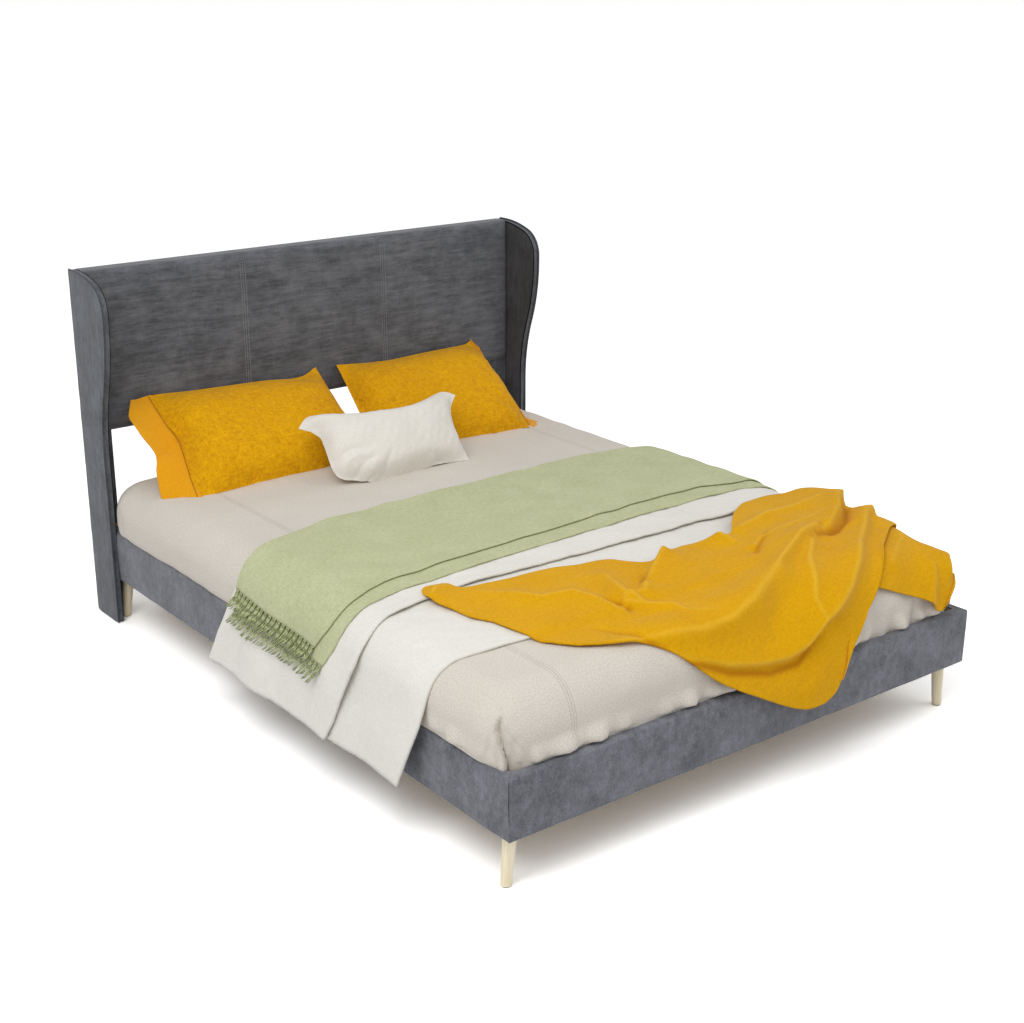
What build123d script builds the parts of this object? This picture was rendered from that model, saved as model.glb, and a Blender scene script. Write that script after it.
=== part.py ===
import os
from math import atan, cos, degrees, radians, sin

from build123d import *

os.makedirs("parts", exist_ok=True)

# Bed as a whole: X across, +Y towards the headboard, +Z up, floor at zero
frame_width = 1620.0
bed_depth = 2186.0
blanket_lip = 36.0
soft_gap = 0.5
joint_gap = 0.4
thread_clearance = 0.1
bolt_clearance = 0.2
hole_overrun = 1.0

# Upholstered rails
rail_top = 304.0
rail_height = 162.0
rail_board = 24.0
rail_padding = 5.0
rail_wrap = 4.0
rail_edge_round = 3.0

# Wings of the headboard
wing_thickness = 21.5
wing_padding = 3.5
wing_height = 1128.0
wing_foot_depth = 153.0
wing_sweep_low_share = 0.493
wing_sweep_rise_share = 0.394
wing_reach = 77.0
wing_nose_radius_share = 0.0798
wing_nose_turn = 70.0
wing_crown_radius_share = 0.3546
wing_gap = 0.5
piping_size = 3.2
glide_height = 4.0
glide_radius = 9.0
glide_inset = 30.0

# Headboard panel, from its back to its front
panel_bottom = 616.0
panel_below_wing = 5.0
back_cloth = 1.0
panel_frame = 18.0
panel_board = 12.0
panel_foam = 34.0
panel_cover = 3.0
panel_round = 20.0
panel_seam_share = 1 / 3
panel_seam_width = 4.0
panel_seam_depth = 1.2
batten_height = 60.0
post_width = 50.0
post_depth = 55.0
dowel_radius = 5.0
dowel_length = 26.0
dowel_shares = (0.15, 0.5, 0.85)
wing_bolt_radius = 4.0
wing_bolt_bite_depth = 10.0
wing_bolt_head_radius = 8.0
wing_bolt_head_height = 4.0
wing_bolt_shares = (0.2, 0.5, 0.8)
head_rail_bolt_bite_depth = 30.0
head_rail_bolt_shares = (0.75, 0.92)

# Corner blocks, their bolts and the wooden legs
block_width = 70.0
block_length = 100.0
corner_bolt_radius = 3.5
corner_bolt_bite_depth = 14.0
corner_bolt_head_radius = 7.0
corner_bolt_head_height = 4.0
block_bolt_shares = (0.25, 0.75)
side_bolt_height_share = 0.75
end_bolt_height_share = 0.5
leg_plate_thickness = 3.0
leg_plate_size = 58.0
leg_plate_inset = 2.0
leg_top_radius = 18.0
leg_bottom_radius = 13.5
leg_side_inset = 43.2
leg_foot_inset = 50.8
leg_head_inset = 111.0
leg_splay = 12.7
leg_back_lean = 7.0
leg_glide_radius = 11.0
leg_glide_height = 3.0
leg_bolt_radius = 4.0
leg_bolt_in_leg = 32.0
leg_bolt_in_block = 27.0

# Slats, ledgers and the middle support
ledger_width = 30.0
ledger_height = 30.0
ledger_drop = 56.0
ledger_screw_radius = 2.2
ledger_screw_bite_depth = 12.0
ledger_screw_head_radius = 4.5
ledger_screw_head_height = 2.5
ledger_screws_in_row = 6
slat_count = 14
slat_width = 68.0
slat_thickness = 14.0
slat_end_gap = 4.0
slat_run_gap = 8.0
strap_width = 25.0
strap_thickness = 1.2
strap_share = 0.5
beam_width = 40.0
beam_height = 70.0
hanger_metal = 2.5
hanger_clearance = 0.5
hanger_ear = 24.0
hanger_cheek = 50.0
hanger_bolt_radius = 3.0
hanger_bolt_bite_depth = 14.0
hanger_bolt_head_radius = 5.5
hanger_bolt_head_height = 3.5
support_leg_size = 40.0
support_leg_shares = (1 / 3, 2 / 3)
support_stud_radius = 4.0
support_stud_bite_depth = 35.0
levelling_pad_radius = 22.0
levelling_pad_height = 8.0
levelling_stud_radius = 4.0
levelling_stud_length = 50.0
levelling_bore_spare = 4.0

# Mattress and fitted sheet
mattress_side_bulge = 5.0
shoulder_radius = 100.0
shoulder_height = 368.0
shoulder_low_turn = -10.0
shoulder_high_turn = 78.0
crown_height = 487.0
sheet_edge_inset = 4.0
mattress_foot_gap = 31.0
mattress_head_gap = 98.0
mattress_foot_round = 150.0
mattress_head_round = 260.0
mattress_end_drop = 75.0
mattress_end_draw = 45.0
mattress_end_lift = 15.0
mattress_end_radius_share = 0.45
mattress_end_turns = (0.0, 18.0, 34.0, 50.0, 64.0, 77.0, 90.0)
well_clearance = 6.0
well_corner_radius = 60.0
well_head_gap = 112.0
well_rise = 40.0
sheet_thickness = 3.0
sheet_hem_lift = 8.0

# Pillows and the small cushion
case_wall = 1.5
case_gap = 0.5
flange_width = 72.0
flange_thickness = 3.0
pillow_width = 620.0
pillow_length = 430.0
pillow_front = 88.0
pillow_back = 60.0
pillow_tilt = 31.5
pillow_left_share = -0.414
pillow_right_share = 0.432
cushion_width = 500.0
cushion_length = 268.0
cushion_front = 62.0
cushion_back = 46.0
cushion_tilt = 43.0
cushion_pillow_gap = 43.0
cushion_share = -0.027
ear_shares = (-1.0, -0.97, -0.86, -0.55, 0.0, 0.55, 0.86, 0.97, 1.0)
fullness_shares = (0.08, 0.22, 0.52, 0.87, 1.0, 0.87, 0.52, 0.22, 0.08)

# Folded duvet and throw, and how they hang; shares of the bed's depth run back from the foot
hang_slope_share = 0.18
duvet_layer = 8.0
duvet_front_share = 0.137
duvet_upper_front_share = 0.275
duvet_fold_share = 0.595
duvet_hem = 145.0
duvet_upper_hem = 160.0
throw_layer = 4.0
throw_front_share = 0.3225
throw_upper_front_share = 0.3545
throw_fold_share = 0.581
throw_hem = 318.0
throw_upper_hem = 345.0
fringe_length = 52.0
fringe_header = 6.0
fringe_thickness = 3.0
tassel_width = 7.0
tassel_pitch = 11.0

# Rumpled blanket over the foot end
blanket_layer = 11.0
blanket_reach_share = 0.302
blanket_ridge = 55.0
blanket_edge = 8.0
blanket_place_shares = (-0.7, -0.53, -0.35, -0.07, 0.25, 0.52, 0.74, 0.88)
blanket_front_shares = (0.91, 0.5, 0.14, 0.09, 0.09, 0.09, 0.09, 0.11)
blanket_rear_shares = (1.0, 0.99, 0.85, 0.76, 0.76, 0.94, 0.98, 0.85)
blanket_ridge_shares = (0.15, 0.36, 0.55, 0.7, 0.9, 0.95, 1.0, 0.87)
blanket_bend = 150.0
blanket_tip_drop = 140.0
blanket_tip_place_shares = (-0.28, -0.14, 0.0, 0.14, 0.22, 0.31, 0.35)
blanket_tip_drop_shares = (0.06, 0.15, 0.6, 0.96, 1.0, 0.62, 0.08)
blanket_corner_front_share = 0.09
blanket_corner_rear_share = 0.44
blanket_corner_hem = 300.0
blanket_corner_turn = 100.0
blanket_clearance = 0.5
blanket_rail_gap = 2.0

# Values worked out from the driving sizes
half_width = frame_width / 2
foot = (blanket_lip - bed_depth) / 2
back = foot + bed_depth
rail_bottom = rail_top - rail_height
rail_thickness = rail_padding + rail_board
rail_inner = half_width - rail_thickness
core_bottom = rail_bottom + rail_wrap
core_height = rail_height - 2 * rail_wrap
post_back = back - back_cloth
post_front = post_back - post_depth
head_rail_front = post_front - rail_board
foot_rail_back = foot + rail_thickness
ledger_top = rail_top - ledger_drop
slat_top = ledger_top + slat_thickness
slat_half = rail_inner - slat_end_gap
bed_base = slat_top + strap_thickness + soft_gap
board_back = post_back - panel_frame
board_front = board_back - panel_board
foam_front = board_front - panel_foam
panel_front = foam_front - panel_cover
panel_half = half_width - joint_gap
panel_top = wing_height - panel_below_wing
post_inner = panel_half - post_width
wing_front = back - wing_foot_depth
wing_nose_front = wing_front - wing_reach
wing_sweep_low = wing_height * wing_sweep_low_share
wing_sweep_rise = wing_height * wing_sweep_rise_share
wing_sweep_turn = degrees(2 * atan(wing_reach / wing_sweep_rise))
wing_sweep_radius = wing_sweep_rise / (2 * sin(radians(wing_sweep_turn)))
wing_nose_radius = wing_height * wing_nose_radius_share
wing_crown_radius = wing_height * wing_crown_radius_share
wing_nose_rise = wing_nose_radius * sin(radians(wing_nose_turn))
wing_crown_rise = wing_crown_radius * (1 - sin(radians(wing_nose_turn)))
wing_nose_low = wing_height - wing_nose_rise - wing_crown_rise
wing_inner = half_width + wing_gap
wing_outer = wing_inner + wing_thickness
wing_core = wing_thickness - 2 * wing_padding
block_bottom = rail_bottom + leg_plate_thickness
block_height = ledger_top - block_bottom
block_inner = rail_inner - block_width
beam_bottom = ledger_top - beam_height
beam_front = foot_rail_back + hanger_metal + hanger_clearance
beam_back = head_rail_front - hanger_metal - hanger_clearance
side_reach = half_width + mattress_side_bulge
sheet_edge_reach = half_width - sheet_edge_inset
shoulder_centre = side_reach - shoulder_radius
crown_edge_height = shoulder_height + shoulder_radius * sin(radians(shoulder_high_turn))
upper_bottom = rail_top + soft_gap
mattress_front = foot + mattress_foot_gap
mattress_back = back - mattress_head_gap
cushion_base = crown_height + soft_gap
duvet_front = bed_depth * duvet_front_share
duvet_upper_front = bed_depth * duvet_upper_front_share
duvet_fold = bed_depth * duvet_fold_share
throw_front = bed_depth * throw_front_share
throw_upper_front = bed_depth * throw_upper_front_share
throw_fold = bed_depth * throw_fold_share
blanket_reach = bed_depth * blanket_reach_share
blanket_corner_front = blanket_reach * blanket_corner_front_share
blanket_corner_rear = blanket_reach * blanket_corner_rear_share
duvet_top = soft_gap + 2 * duvet_layer
throw_base = duvet_top + soft_gap

along_x = (0, 90, 0)
along_y = (90, 0, 0)
upright = (0, 0, 0)


def side_plane(x):
    # a plane along the bed at this X, drawn as Y and Z
    return Plane(origin=(x, 0, 0), x_dir=(0, 1, 0), z_dir=(1, 0, 0))


def front_plane(y):
    # a plane across the bed at this Y, drawn as X and Z
    return Plane(origin=(0, y, 0), x_dir=(1, 0, 0), z_dir=(0, -1, 0))


def bar(left, right, front, rear, low, high, mode=Mode.ADD):
    # a straight bar between its six faces, given in either order
    middle = ((left + right) / 2, (front + rear) / 2, (low + high) / 2)
    with Locations(middle):
        Box(abs(right - left), abs(rear - front), abs(high - low), mode=mode)


def rod(middle, radius, length, turn, mode=Mode.ADD):
    # a round rod about its middle, turned from upright
    with Locations(middle):
        Cylinder(radius, length, rotation=turn, mode=mode)


def save(piece, label):
    piece.part.label = label
    export_step(piece.part, f"parts/{label}.step")


# Where the bolts of the corners, the ledgers, the beam and the wings go
foot_block = (foot_rail_back, foot_rail_back + block_length)
head_block = (head_rail_front - block_length, head_rail_front)
side_bolt_height = block_bottom + block_height * side_bolt_height_share
end_bolt_height = block_bottom + block_height * end_bolt_height_share
side_bolt_places = [
    block[0] + block_length * share
    for block in (foot_block, head_block)
    for share in block_bolt_shares
]
end_bolt_place = (rail_inner + block_inner) / 2
leg_tops = [
    (side * (half_width - leg_side_inset), y)
    for side in (-1, 1)
    for y in (foot + leg_foot_inset, back - leg_head_inset)
]
ledger_front = foot_block[1] + joint_gap
ledger_back = head_block[0] - joint_gap
ledger_screw_height = ledger_top - ledger_height / 2
ledger_screw_places = [
    ledger_front + (ledger_back - ledger_front) * (number + 1 / 2) / ledger_screws_in_row
    for number in range(ledger_screws_in_row)
]
hanger_bolt_place = beam_width / 2 + hanger_clearance + hanger_metal + hanger_ear / 2
hanger_bolt_height = (beam_bottom + ledger_top) / 2
support_places = [beam_front + (beam_back - beam_front) * share for share in support_leg_shares]
wing_bolt_heights = [panel_bottom * share for share in wing_bolt_shares]
wing_bolt_place = (post_front + post_back) / 2
head_rail_bolt_heights = [rail_bottom + rail_height * share for share in head_rail_bolt_shares]
post_middle = (panel_half + post_inner) / 2
head_rail_bolt_place = (rail_inner + post_inner) / 2
dowel_heights = [panel_bottom + (panel_top - panel_bottom) * share for share in dowel_shares]

# Side rails with mitred foot ends, and their padded covers
for side, name in ((-1, "left"), (1, "right")):
    outer = side * (half_width - rail_padding)
    inner = side * rail_inner
    with BuildPart() as side_rail:
        with BuildSketch(Plane.XY.offset(core_bottom)):
            with BuildLine():
                Polyline(
                    (outer, foot + rail_padding),
                    (inner, foot_rail_back),
                    (inner, post_front),
                    (outer, post_front),
                    close=True,
                )
            make_face()
        extrude(amount=core_height)
        hole_middle = inner + side * corner_bolt_bite_depth / 2
        for y in side_bolt_places:
            rod((hole_middle, y, side_bolt_height), corner_bolt_radius + bolt_clearance,
                corner_bolt_bite_depth + 2 * hole_overrun, along_x, Mode.SUBTRACT)
        hole_middle = inner + side * ledger_screw_bite_depth / 2
        for y in ledger_screw_places:
            rod((hole_middle, y, ledger_screw_height), ledger_screw_radius + thread_clearance,
                ledger_screw_bite_depth + 2 * hole_overrun, along_x, Mode.SUBTRACT)
    save(side_rail, f"side_rail_{name}")

    with BuildPart() as side_cover:
        with BuildSketch(Plane.XY.offset(rail_bottom)):
            with BuildLine():
                Polyline(
                    (side * half_width, foot),
                    (inner, foot_rail_back),
                    (inner, post_front),
                    (side * half_width, post_front),
                    close=True,
                )
            make_face()
        extrude(amount=rail_height)
        long_edges = side_cover.edges().filter_by(Axis.Y).sort_by(Axis.X)
        fillet(long_edges[:2] if side < 0 else long_edges[-2:], radius=rail_edge_round)
        bar(outer, inner, foot, post_front, core_bottom, core_bottom + core_height, Mode.SUBTRACT)
    save(side_cover, f"side_rail_{name}_cover")

# Foot rail with its padded cover, and the head rail
with BuildPart() as foot_rail:
    with BuildSketch(Plane.XY.offset(core_bottom)):
        with BuildLine():
            Polyline(
                (rail_padding - half_width, foot + rail_padding),
                (half_width - rail_padding, foot + rail_padding),
                (rail_inner, foot_rail_back),
                (-rail_inner, foot_rail_back),
                close=True,
            )
        make_face()
    extrude(amount=core_height)
    for side in (-1, 1):
        rod((side * end_bolt_place, foot_rail_back - corner_bolt_bite_depth / 2, end_bolt_height),
            corner_bolt_radius + bolt_clearance, corner_bolt_bite_depth + 2 * hole_overrun, along_y,
            Mode.SUBTRACT)
        rod((side * hanger_bolt_place, foot_rail_back - hanger_bolt_bite_depth / 2, hanger_bolt_height),
            hanger_bolt_radius + bolt_clearance, hanger_bolt_bite_depth + 2 * hole_overrun, along_y,
            Mode.SUBTRACT)
save(foot_rail, "foot_rail")

with BuildPart() as foot_cover:
    with BuildSketch(Plane.XY.offset(rail_bottom)):
        with BuildLine():
            Polyline(
                (-half_width, foot),
                (half_width, foot),
                (rail_inner, foot_rail_back),
                (-rail_inner, foot_rail_back),
                close=True,
            )
        make_face()
    extrude(amount=rail_height)
    fillet(foot_cover.edges().filter_by(Axis.X).sort_by(Axis.Y)[:2], radius=rail_edge_round)
    bar(-half_width, half_width, foot + rail_padding, foot_rail_back, core_bottom,
        core_bottom + core_height, Mode.SUBTRACT)
save(foot_cover, "foot_rail_cover")

with BuildPart() as head_rail:
    bar(-rail_inner, rail_inner, head_rail_front, post_front, rail_bottom, rail_top)
    for side in (-1, 1):
        rod((side * end_bolt_place, head_rail_front + corner_bolt_bite_depth / 2, end_bolt_height),
            corner_bolt_radius + bolt_clearance, corner_bolt_bite_depth + 2 * hole_overrun, along_y,
            Mode.SUBTRACT)
        rod((side * hanger_bolt_place, head_rail_front + hanger_bolt_bite_depth / 2, hanger_bolt_height),
            hanger_bolt_radius + bolt_clearance, hanger_bolt_bite_depth + 2 * hole_overrun, along_y,
            Mode.SUBTRACT)
        for z in head_rail_bolt_heights:
            rod((side * head_rail_bolt_place, (head_rail_front + post_front) / 2, z),
                corner_bolt_radius + bolt_clearance, rail_board + 2 * hole_overrun, along_y,
                Mode.SUBTRACT)
save(head_rail, "head_rail")

# Corner blocks, leg plates, legs, glides and leg bolts
with BuildPart() as corner_blocks:
    for side in (-1, 1):
        for block in (foot_block, head_block):
            bar(side * block_inner, side * rail_inner, *block, block_bottom, ledger_top)
        for y in side_bolt_places:
            rod((side * end_bolt_place, y, side_bolt_height), corner_bolt_radius + bolt_clearance,
                block_width + 2 * hole_overrun, along_x, Mode.SUBTRACT)
        for block in (foot_block, head_block):
            rod((side * end_bolt_place, sum(block) / 2, end_bolt_height),
                corner_bolt_radius + bolt_clearance, block_length + 2 * hole_overrun, along_y,
                Mode.SUBTRACT)
    for x, y in leg_tops:
        rod((x, y, block_bottom + leg_bolt_in_block / 2), leg_bolt_radius + bolt_clearance,
            leg_bolt_in_block + 2 * hole_overrun, upright, Mode.SUBTRACT)
save(corner_blocks, "corner_blocks")

with BuildPart() as corner_bolts:
    for side in (-1, 1):
        for y in side_bolt_places:
            reach = block_width + corner_bolt_bite_depth
            rod((side * (block_inner + reach / 2), y, side_bolt_height), corner_bolt_radius, reach,
                along_x)
            rod((side * (block_inner - corner_bolt_head_height / 2), y, side_bolt_height),
                corner_bolt_head_radius, corner_bolt_head_height, along_x)
        reach = block_length + corner_bolt_bite_depth
        for face, way in ((foot_block[1], 1), (head_block[0], -1)):
            rod((side * end_bolt_place, face - way * reach / 2, end_bolt_height),
                corner_bolt_radius, reach, along_y)
            rod((side * end_bolt_place, face + way * corner_bolt_head_height / 2, end_bolt_height),
                corner_bolt_head_radius, corner_bolt_head_height, along_y)
save(corner_bolts, "corner_bolts")

with BuildPart() as leg_plates:
    for side in (-1, 1):
        plate_outer = side * (rail_inner - leg_plate_inset)
        plate_inner = plate_outer - side * leg_plate_size
        for near, way in ((foot_block[0], 1), (head_block[1], -1)):
            plate_near = near + way * leg_plate_inset
            bar(plate_outer, plate_inner, plate_near, plate_near + way * leg_plate_size,
                rail_bottom, block_bottom)
    for x, y in leg_tops:
        rod((x, y, rail_bottom + leg_plate_thickness / 2), leg_bolt_radius + bolt_clearance,
            leg_plate_thickness + 2 * hole_overrun, upright, Mode.SUBTRACT)
save(leg_plates, "leg_plates")

for x, y in leg_tops:
    side = 1 if x > 0 else -1
    at_head = y > 0
    bottom = (x + side * leg_splay, y + (leg_back_lean if at_head else 0))
    with BuildPart() as leg:
        with BuildSketch(Plane.XY.offset(leg_glide_height)):
            with Locations(bottom):
                Circle(leg_bottom_radius)
        with BuildSketch(Plane.XY.offset(rail_bottom)):
            with Locations((x, y)):
                Circle(leg_top_radius)
        loft()
        rod((x, y, rail_bottom - leg_bolt_in_leg / 2), leg_bolt_radius + bolt_clearance,
            leg_bolt_in_leg + 2 * hole_overrun, upright, Mode.SUBTRACT)
    save(leg, f"leg_{'head' if at_head else 'foot'}_{'right' if side > 0 else 'left'}")

with BuildPart() as leg_glides:
    for x, y in leg_tops:
        side = 1 if x > 0 else -1
        lean = leg_back_lean if y > 0 else 0
        rod((x + side * leg_splay, y + lean, leg_glide_height / 2), leg_glide_radius,
            leg_glide_height, upright)
save(leg_glides, "leg_glides")

with BuildPart() as leg_bolts:
    for x, y in leg_tops:
        low = rail_bottom - leg_bolt_in_leg
        high = block_bottom + leg_bolt_in_block
        rod((x, y, (low + high) / 2), leg_bolt_radius, high - low, upright)
save(leg_bolts, "leg_bolts")

# Ledgers with their screws, slats and straps
for side, name in ((-1, "left"), (1, "right")):
    with BuildPart() as ledger:
        bar(side * (rail_inner - ledger_width), side * rail_inner, ledger_front, ledger_back,
            ledger_top - ledger_height, ledger_top)
        for y in ledger_screw_places:
            rod((side * (rail_inner - ledger_width / 2), y, ledger_screw_height),
                ledger_screw_radius + thread_clearance, ledger_width + 2 * hole_overrun, along_x,
                Mode.SUBTRACT)
    save(ledger, f"ledger_{name}")

with BuildPart() as ledger_screws:
    for side in (-1, 1):
        face = rail_inner - ledger_width
        reach = ledger_width + ledger_screw_bite_depth
        for y in ledger_screw_places:
            rod((side * (face + reach / 2), y, ledger_screw_height), ledger_screw_radius, reach,
                along_x)
            rod((side * (face - ledger_screw_head_height / 2), y, ledger_screw_height),
                ledger_screw_head_radius, ledger_screw_head_height, along_x)
save(ledger_screws, "ledger_screws")

slat_run = head_rail_front - foot_rail_back - 2 * slat_run_gap
slat_pitch = (slat_run - slat_width) / (slat_count - 1)
slat_first = foot_rail_back + slat_run_gap
with BuildPart() as slats:
    for number in range(slat_count):
        near = slat_first + slat_pitch * number
        bar(-slat_half, slat_half, near, near + slat_width, ledger_top, slat_top)
save(slats, "slats")

with BuildPart() as slat_straps:
    for side in (-1, 1):
        middle = side * slat_half * strap_share
        bar(middle - strap_width / 2, middle + strap_width / 2, slat_first, slat_first + slat_run,
            slat_top, slat_top + strap_thickness)
save(slat_straps, "slat_straps")

# Centre beam in its hangers, on two legs with levelling feet
with BuildPart() as centre_beam:
    bar(-beam_width / 2, beam_width / 2, beam_front, beam_back, beam_bottom, ledger_top)
    for y in support_places:
        rod((0, y, beam_bottom + support_stud_bite_depth / 2), support_stud_radius + bolt_clearance,
            support_stud_bite_depth + 2 * hole_overrun, upright, Mode.SUBTRACT)
save(centre_beam, "centre_beam")

hanger_half = beam_width / 2 + hanger_clearance + hanger_metal
with BuildPart() as beam_hangers:
    for face, way in ((foot_rail_back, 1), (head_rail_front, -1)):
        bar(-hanger_half - hanger_ear, hanger_half + hanger_ear, face, face + way * hanger_metal,
            beam_bottom - hanger_metal, ledger_top)
        bar(-hanger_half, hanger_half, face, face + way * hanger_cheek,
            beam_bottom - hanger_metal, beam_bottom)
        for side in (-1, 1):
            bar(side * hanger_half, side * (hanger_half - hanger_metal), face,
                face + way * hanger_cheek, beam_bottom, beam_bottom + hanger_cheek)
            rod((side * hanger_bolt_place, face + way * hanger_metal / 2, hanger_bolt_height),
                hanger_bolt_radius + bolt_clearance, hanger_metal + 2 * hole_overrun, along_y,
                Mode.SUBTRACT)
save(beam_hangers, "beam_hangers")

with BuildPart() as hanger_bolts:
    for face, way in ((foot_rail_back, 1), (head_rail_front, -1)):
        reach = hanger_metal + hanger_bolt_bite_depth
        seat = face + way * hanger_metal
        for side in (-1, 1):
            rod((side * hanger_bolt_place, seat - way * reach / 2, hanger_bolt_height),
                hanger_bolt_radius, reach, along_y)
            rod((side * hanger_bolt_place, seat + way * hanger_bolt_head_height / 2,
                 hanger_bolt_height), hanger_bolt_head_radius, hanger_bolt_head_height, along_y)
save(hanger_bolts, "hanger_bolts")

support_half = support_leg_size / 2
support_bottom = levelling_pad_height + soft_gap
for y, name in zip(support_places, ("foot", "head")):
    with BuildPart() as support_leg:
        bar(-support_half, support_half, y - support_half, y + support_half, support_bottom,
            beam_bottom)
        bore = levelling_stud_length + levelling_bore_spare
        rod((0, y, support_bottom + bore / 2 - hole_overrun), levelling_stud_radius + bolt_clearance,
            bore + 2 * hole_overrun, upright, Mode.SUBTRACT)
        rod((0, y, beam_bottom - support_stud_bite_depth / 2), support_stud_radius + bolt_clearance,
            support_stud_bite_depth + 2 * hole_overrun, upright, Mode.SUBTRACT)
    save(support_leg, f"support_leg_{name}")

    with BuildPart() as levelling_foot:
        rod((0, y, levelling_pad_height / 2), levelling_pad_radius, levelling_pad_height, upright)
        rod((0, y, levelling_pad_height + levelling_stud_length / 2), levelling_stud_radius,
            levelling_stud_length, upright)
    save(levelling_foot, f"levelling_foot_{name}")

with BuildPart() as support_studs:
    for y in support_places:
        rod((0, y, beam_bottom), support_stud_radius, 2 * support_stud_bite_depth, upright)
save(support_studs, "support_studs")

# Headboard posts with their tongues, board, battens, foam, cover and back cloth
for side, name in ((-1, "left"), (1, "right")):
    with BuildPart() as post:
        bar(side * post_inner, side * panel_half, post_front, post_back, glide_height, panel_bottom)
        bar(side * post_inner, side * panel_half, board_back, post_back, panel_bottom,
            panel_top - panel_cover)
        for z in wing_bolt_heights:
            rod((side * post_middle, wing_bolt_place, z), wing_bolt_radius + bolt_clearance,
                post_width + 2 * hole_overrun, along_x, Mode.SUBTRACT)
        for z in head_rail_bolt_heights:
            rod((side * head_rail_bolt_place, post_front + head_rail_bolt_bite_depth / 2, z),
                corner_bolt_radius + bolt_clearance, head_rail_bolt_bite_depth + 2 * hole_overrun, along_y,
                Mode.SUBTRACT)
        for z in dowel_heights:
            rod((side * post_middle, board_back + panel_frame / 2, z),
                dowel_radius + thread_clearance, panel_frame + 2 * hole_overrun, along_y,
                Mode.SUBTRACT)
    save(post, f"headboard_post_{name}")

with BuildPart() as headboard_battens:
    first = panel_bottom + batten_height / 2
    last = panel_top - panel_cover - batten_height / 2
    for middle in (first, (first + last) / 2, last):
        bar(-post_inner, post_inner, board_back, post_back, middle - batten_height / 2,
            middle + batten_height / 2)
save(headboard_battens, "headboard_battens")

pad_half = panel_half - panel_cover
pad_bottom = panel_bottom + panel_cover
pad_top = panel_top - panel_cover
with BuildPart() as headboard_board:
    bar(-pad_half, pad_half, board_front, board_back, pad_bottom, pad_top)
    for side in (-1, 1):
        for z in dowel_heights:
            rod((side * post_middle, board_back, z), dowel_radius + thread_clearance,
                2 * (dowel_length - panel_frame) + hole_overrun, along_y, Mode.SUBTRACT)
save(headboard_board, "headboard_board")

with BuildPart() as headboard_dowels:
    for side in (-1, 1):
        for z in dowel_heights:
            rod((side * post_middle, post_back - dowel_length / 2, z), dowel_radius,
                dowel_length, along_y)
save(headboard_dowels, "headboard_dowels")

with BuildPart() as headboard_foam:
    bar(-pad_half, pad_half, foam_front, board_front, pad_bottom, pad_top)
    fillet(headboard_foam.faces().sort_by(Axis.Y)[0].edges(), radius=panel_round - panel_cover)
save(headboard_foam, "headboard_foam")

with BuildPart() as headboard_cover:
    bar(-panel_half, panel_half, panel_front, board_back, panel_bottom, panel_top)
    fillet(headboard_cover.faces().sort_by(Axis.Y)[0].edges(), radius=panel_round)
    bar(-panel_half, panel_half, board_back, post_back, pad_top, panel_top)
    bar(-pad_half, pad_half, board_front, board_back, pad_bottom, pad_top, Mode.SUBTRACT)
    add(headboard_foam.part, mode=Mode.SUBTRACT)
    for side in (-1, 1):
        seam = side * panel_half * panel_seam_share
        bar(seam - panel_seam_width / 2, seam + panel_seam_width / 2, panel_front,
            panel_front + panel_seam_depth, panel_bottom, panel_top, Mode.SUBTRACT)
save(headboard_cover, "headboard_cover")

with BuildPart() as headboard_back_cloth:
    bar(-panel_half, panel_half, post_back, back, panel_bottom, panel_top)
save(headboard_back_cloth, "headboard_back_cloth")

with BuildPart() as head_rail_bolts:
    for side in (-1, 1):
        reach = rail_board + head_rail_bolt_bite_depth
        for z in head_rail_bolt_heights:
            rod((side * head_rail_bolt_place, head_rail_front + reach / 2, z), corner_bolt_radius,
                reach, along_y)
            rod((side * head_rail_bolt_place, head_rail_front - corner_bolt_head_height / 2, z),
                corner_bolt_head_radius, corner_bolt_head_height, along_y)
save(head_rail_bolts, "head_rail_bolts")


# Wings: a straight foot, a double sweep forwards and a rounded nose under a low crown
def wing_outline(x, inset):
    with BuildSketch(side_plane(x)) as outline:
        with BuildLine():
            shin = Line((wing_front + inset, glide_height), (wing_front + inset, wing_sweep_low))
            low = JernArc(shin @ 1, shin % 1, wing_sweep_radius + inset, wing_sweep_turn)
            high = JernArc(low @ 1, low % 1, wing_sweep_radius - inset, -wing_sweep_turn)
            face = Line(high @ 1, (wing_nose_front + inset, wing_nose_low))
            nose = JernArc(face @ 1, face % 1, wing_nose_radius - inset, -wing_nose_turn)
            crown = JernArc(nose @ 1, nose % 1, wing_crown_radius - inset, wing_nose_turn - 90)
            Polyline(crown @ 1, (back, wing_height - inset), (back, glide_height), shin @ 0)
        make_face()
    return outline.sketch


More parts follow.
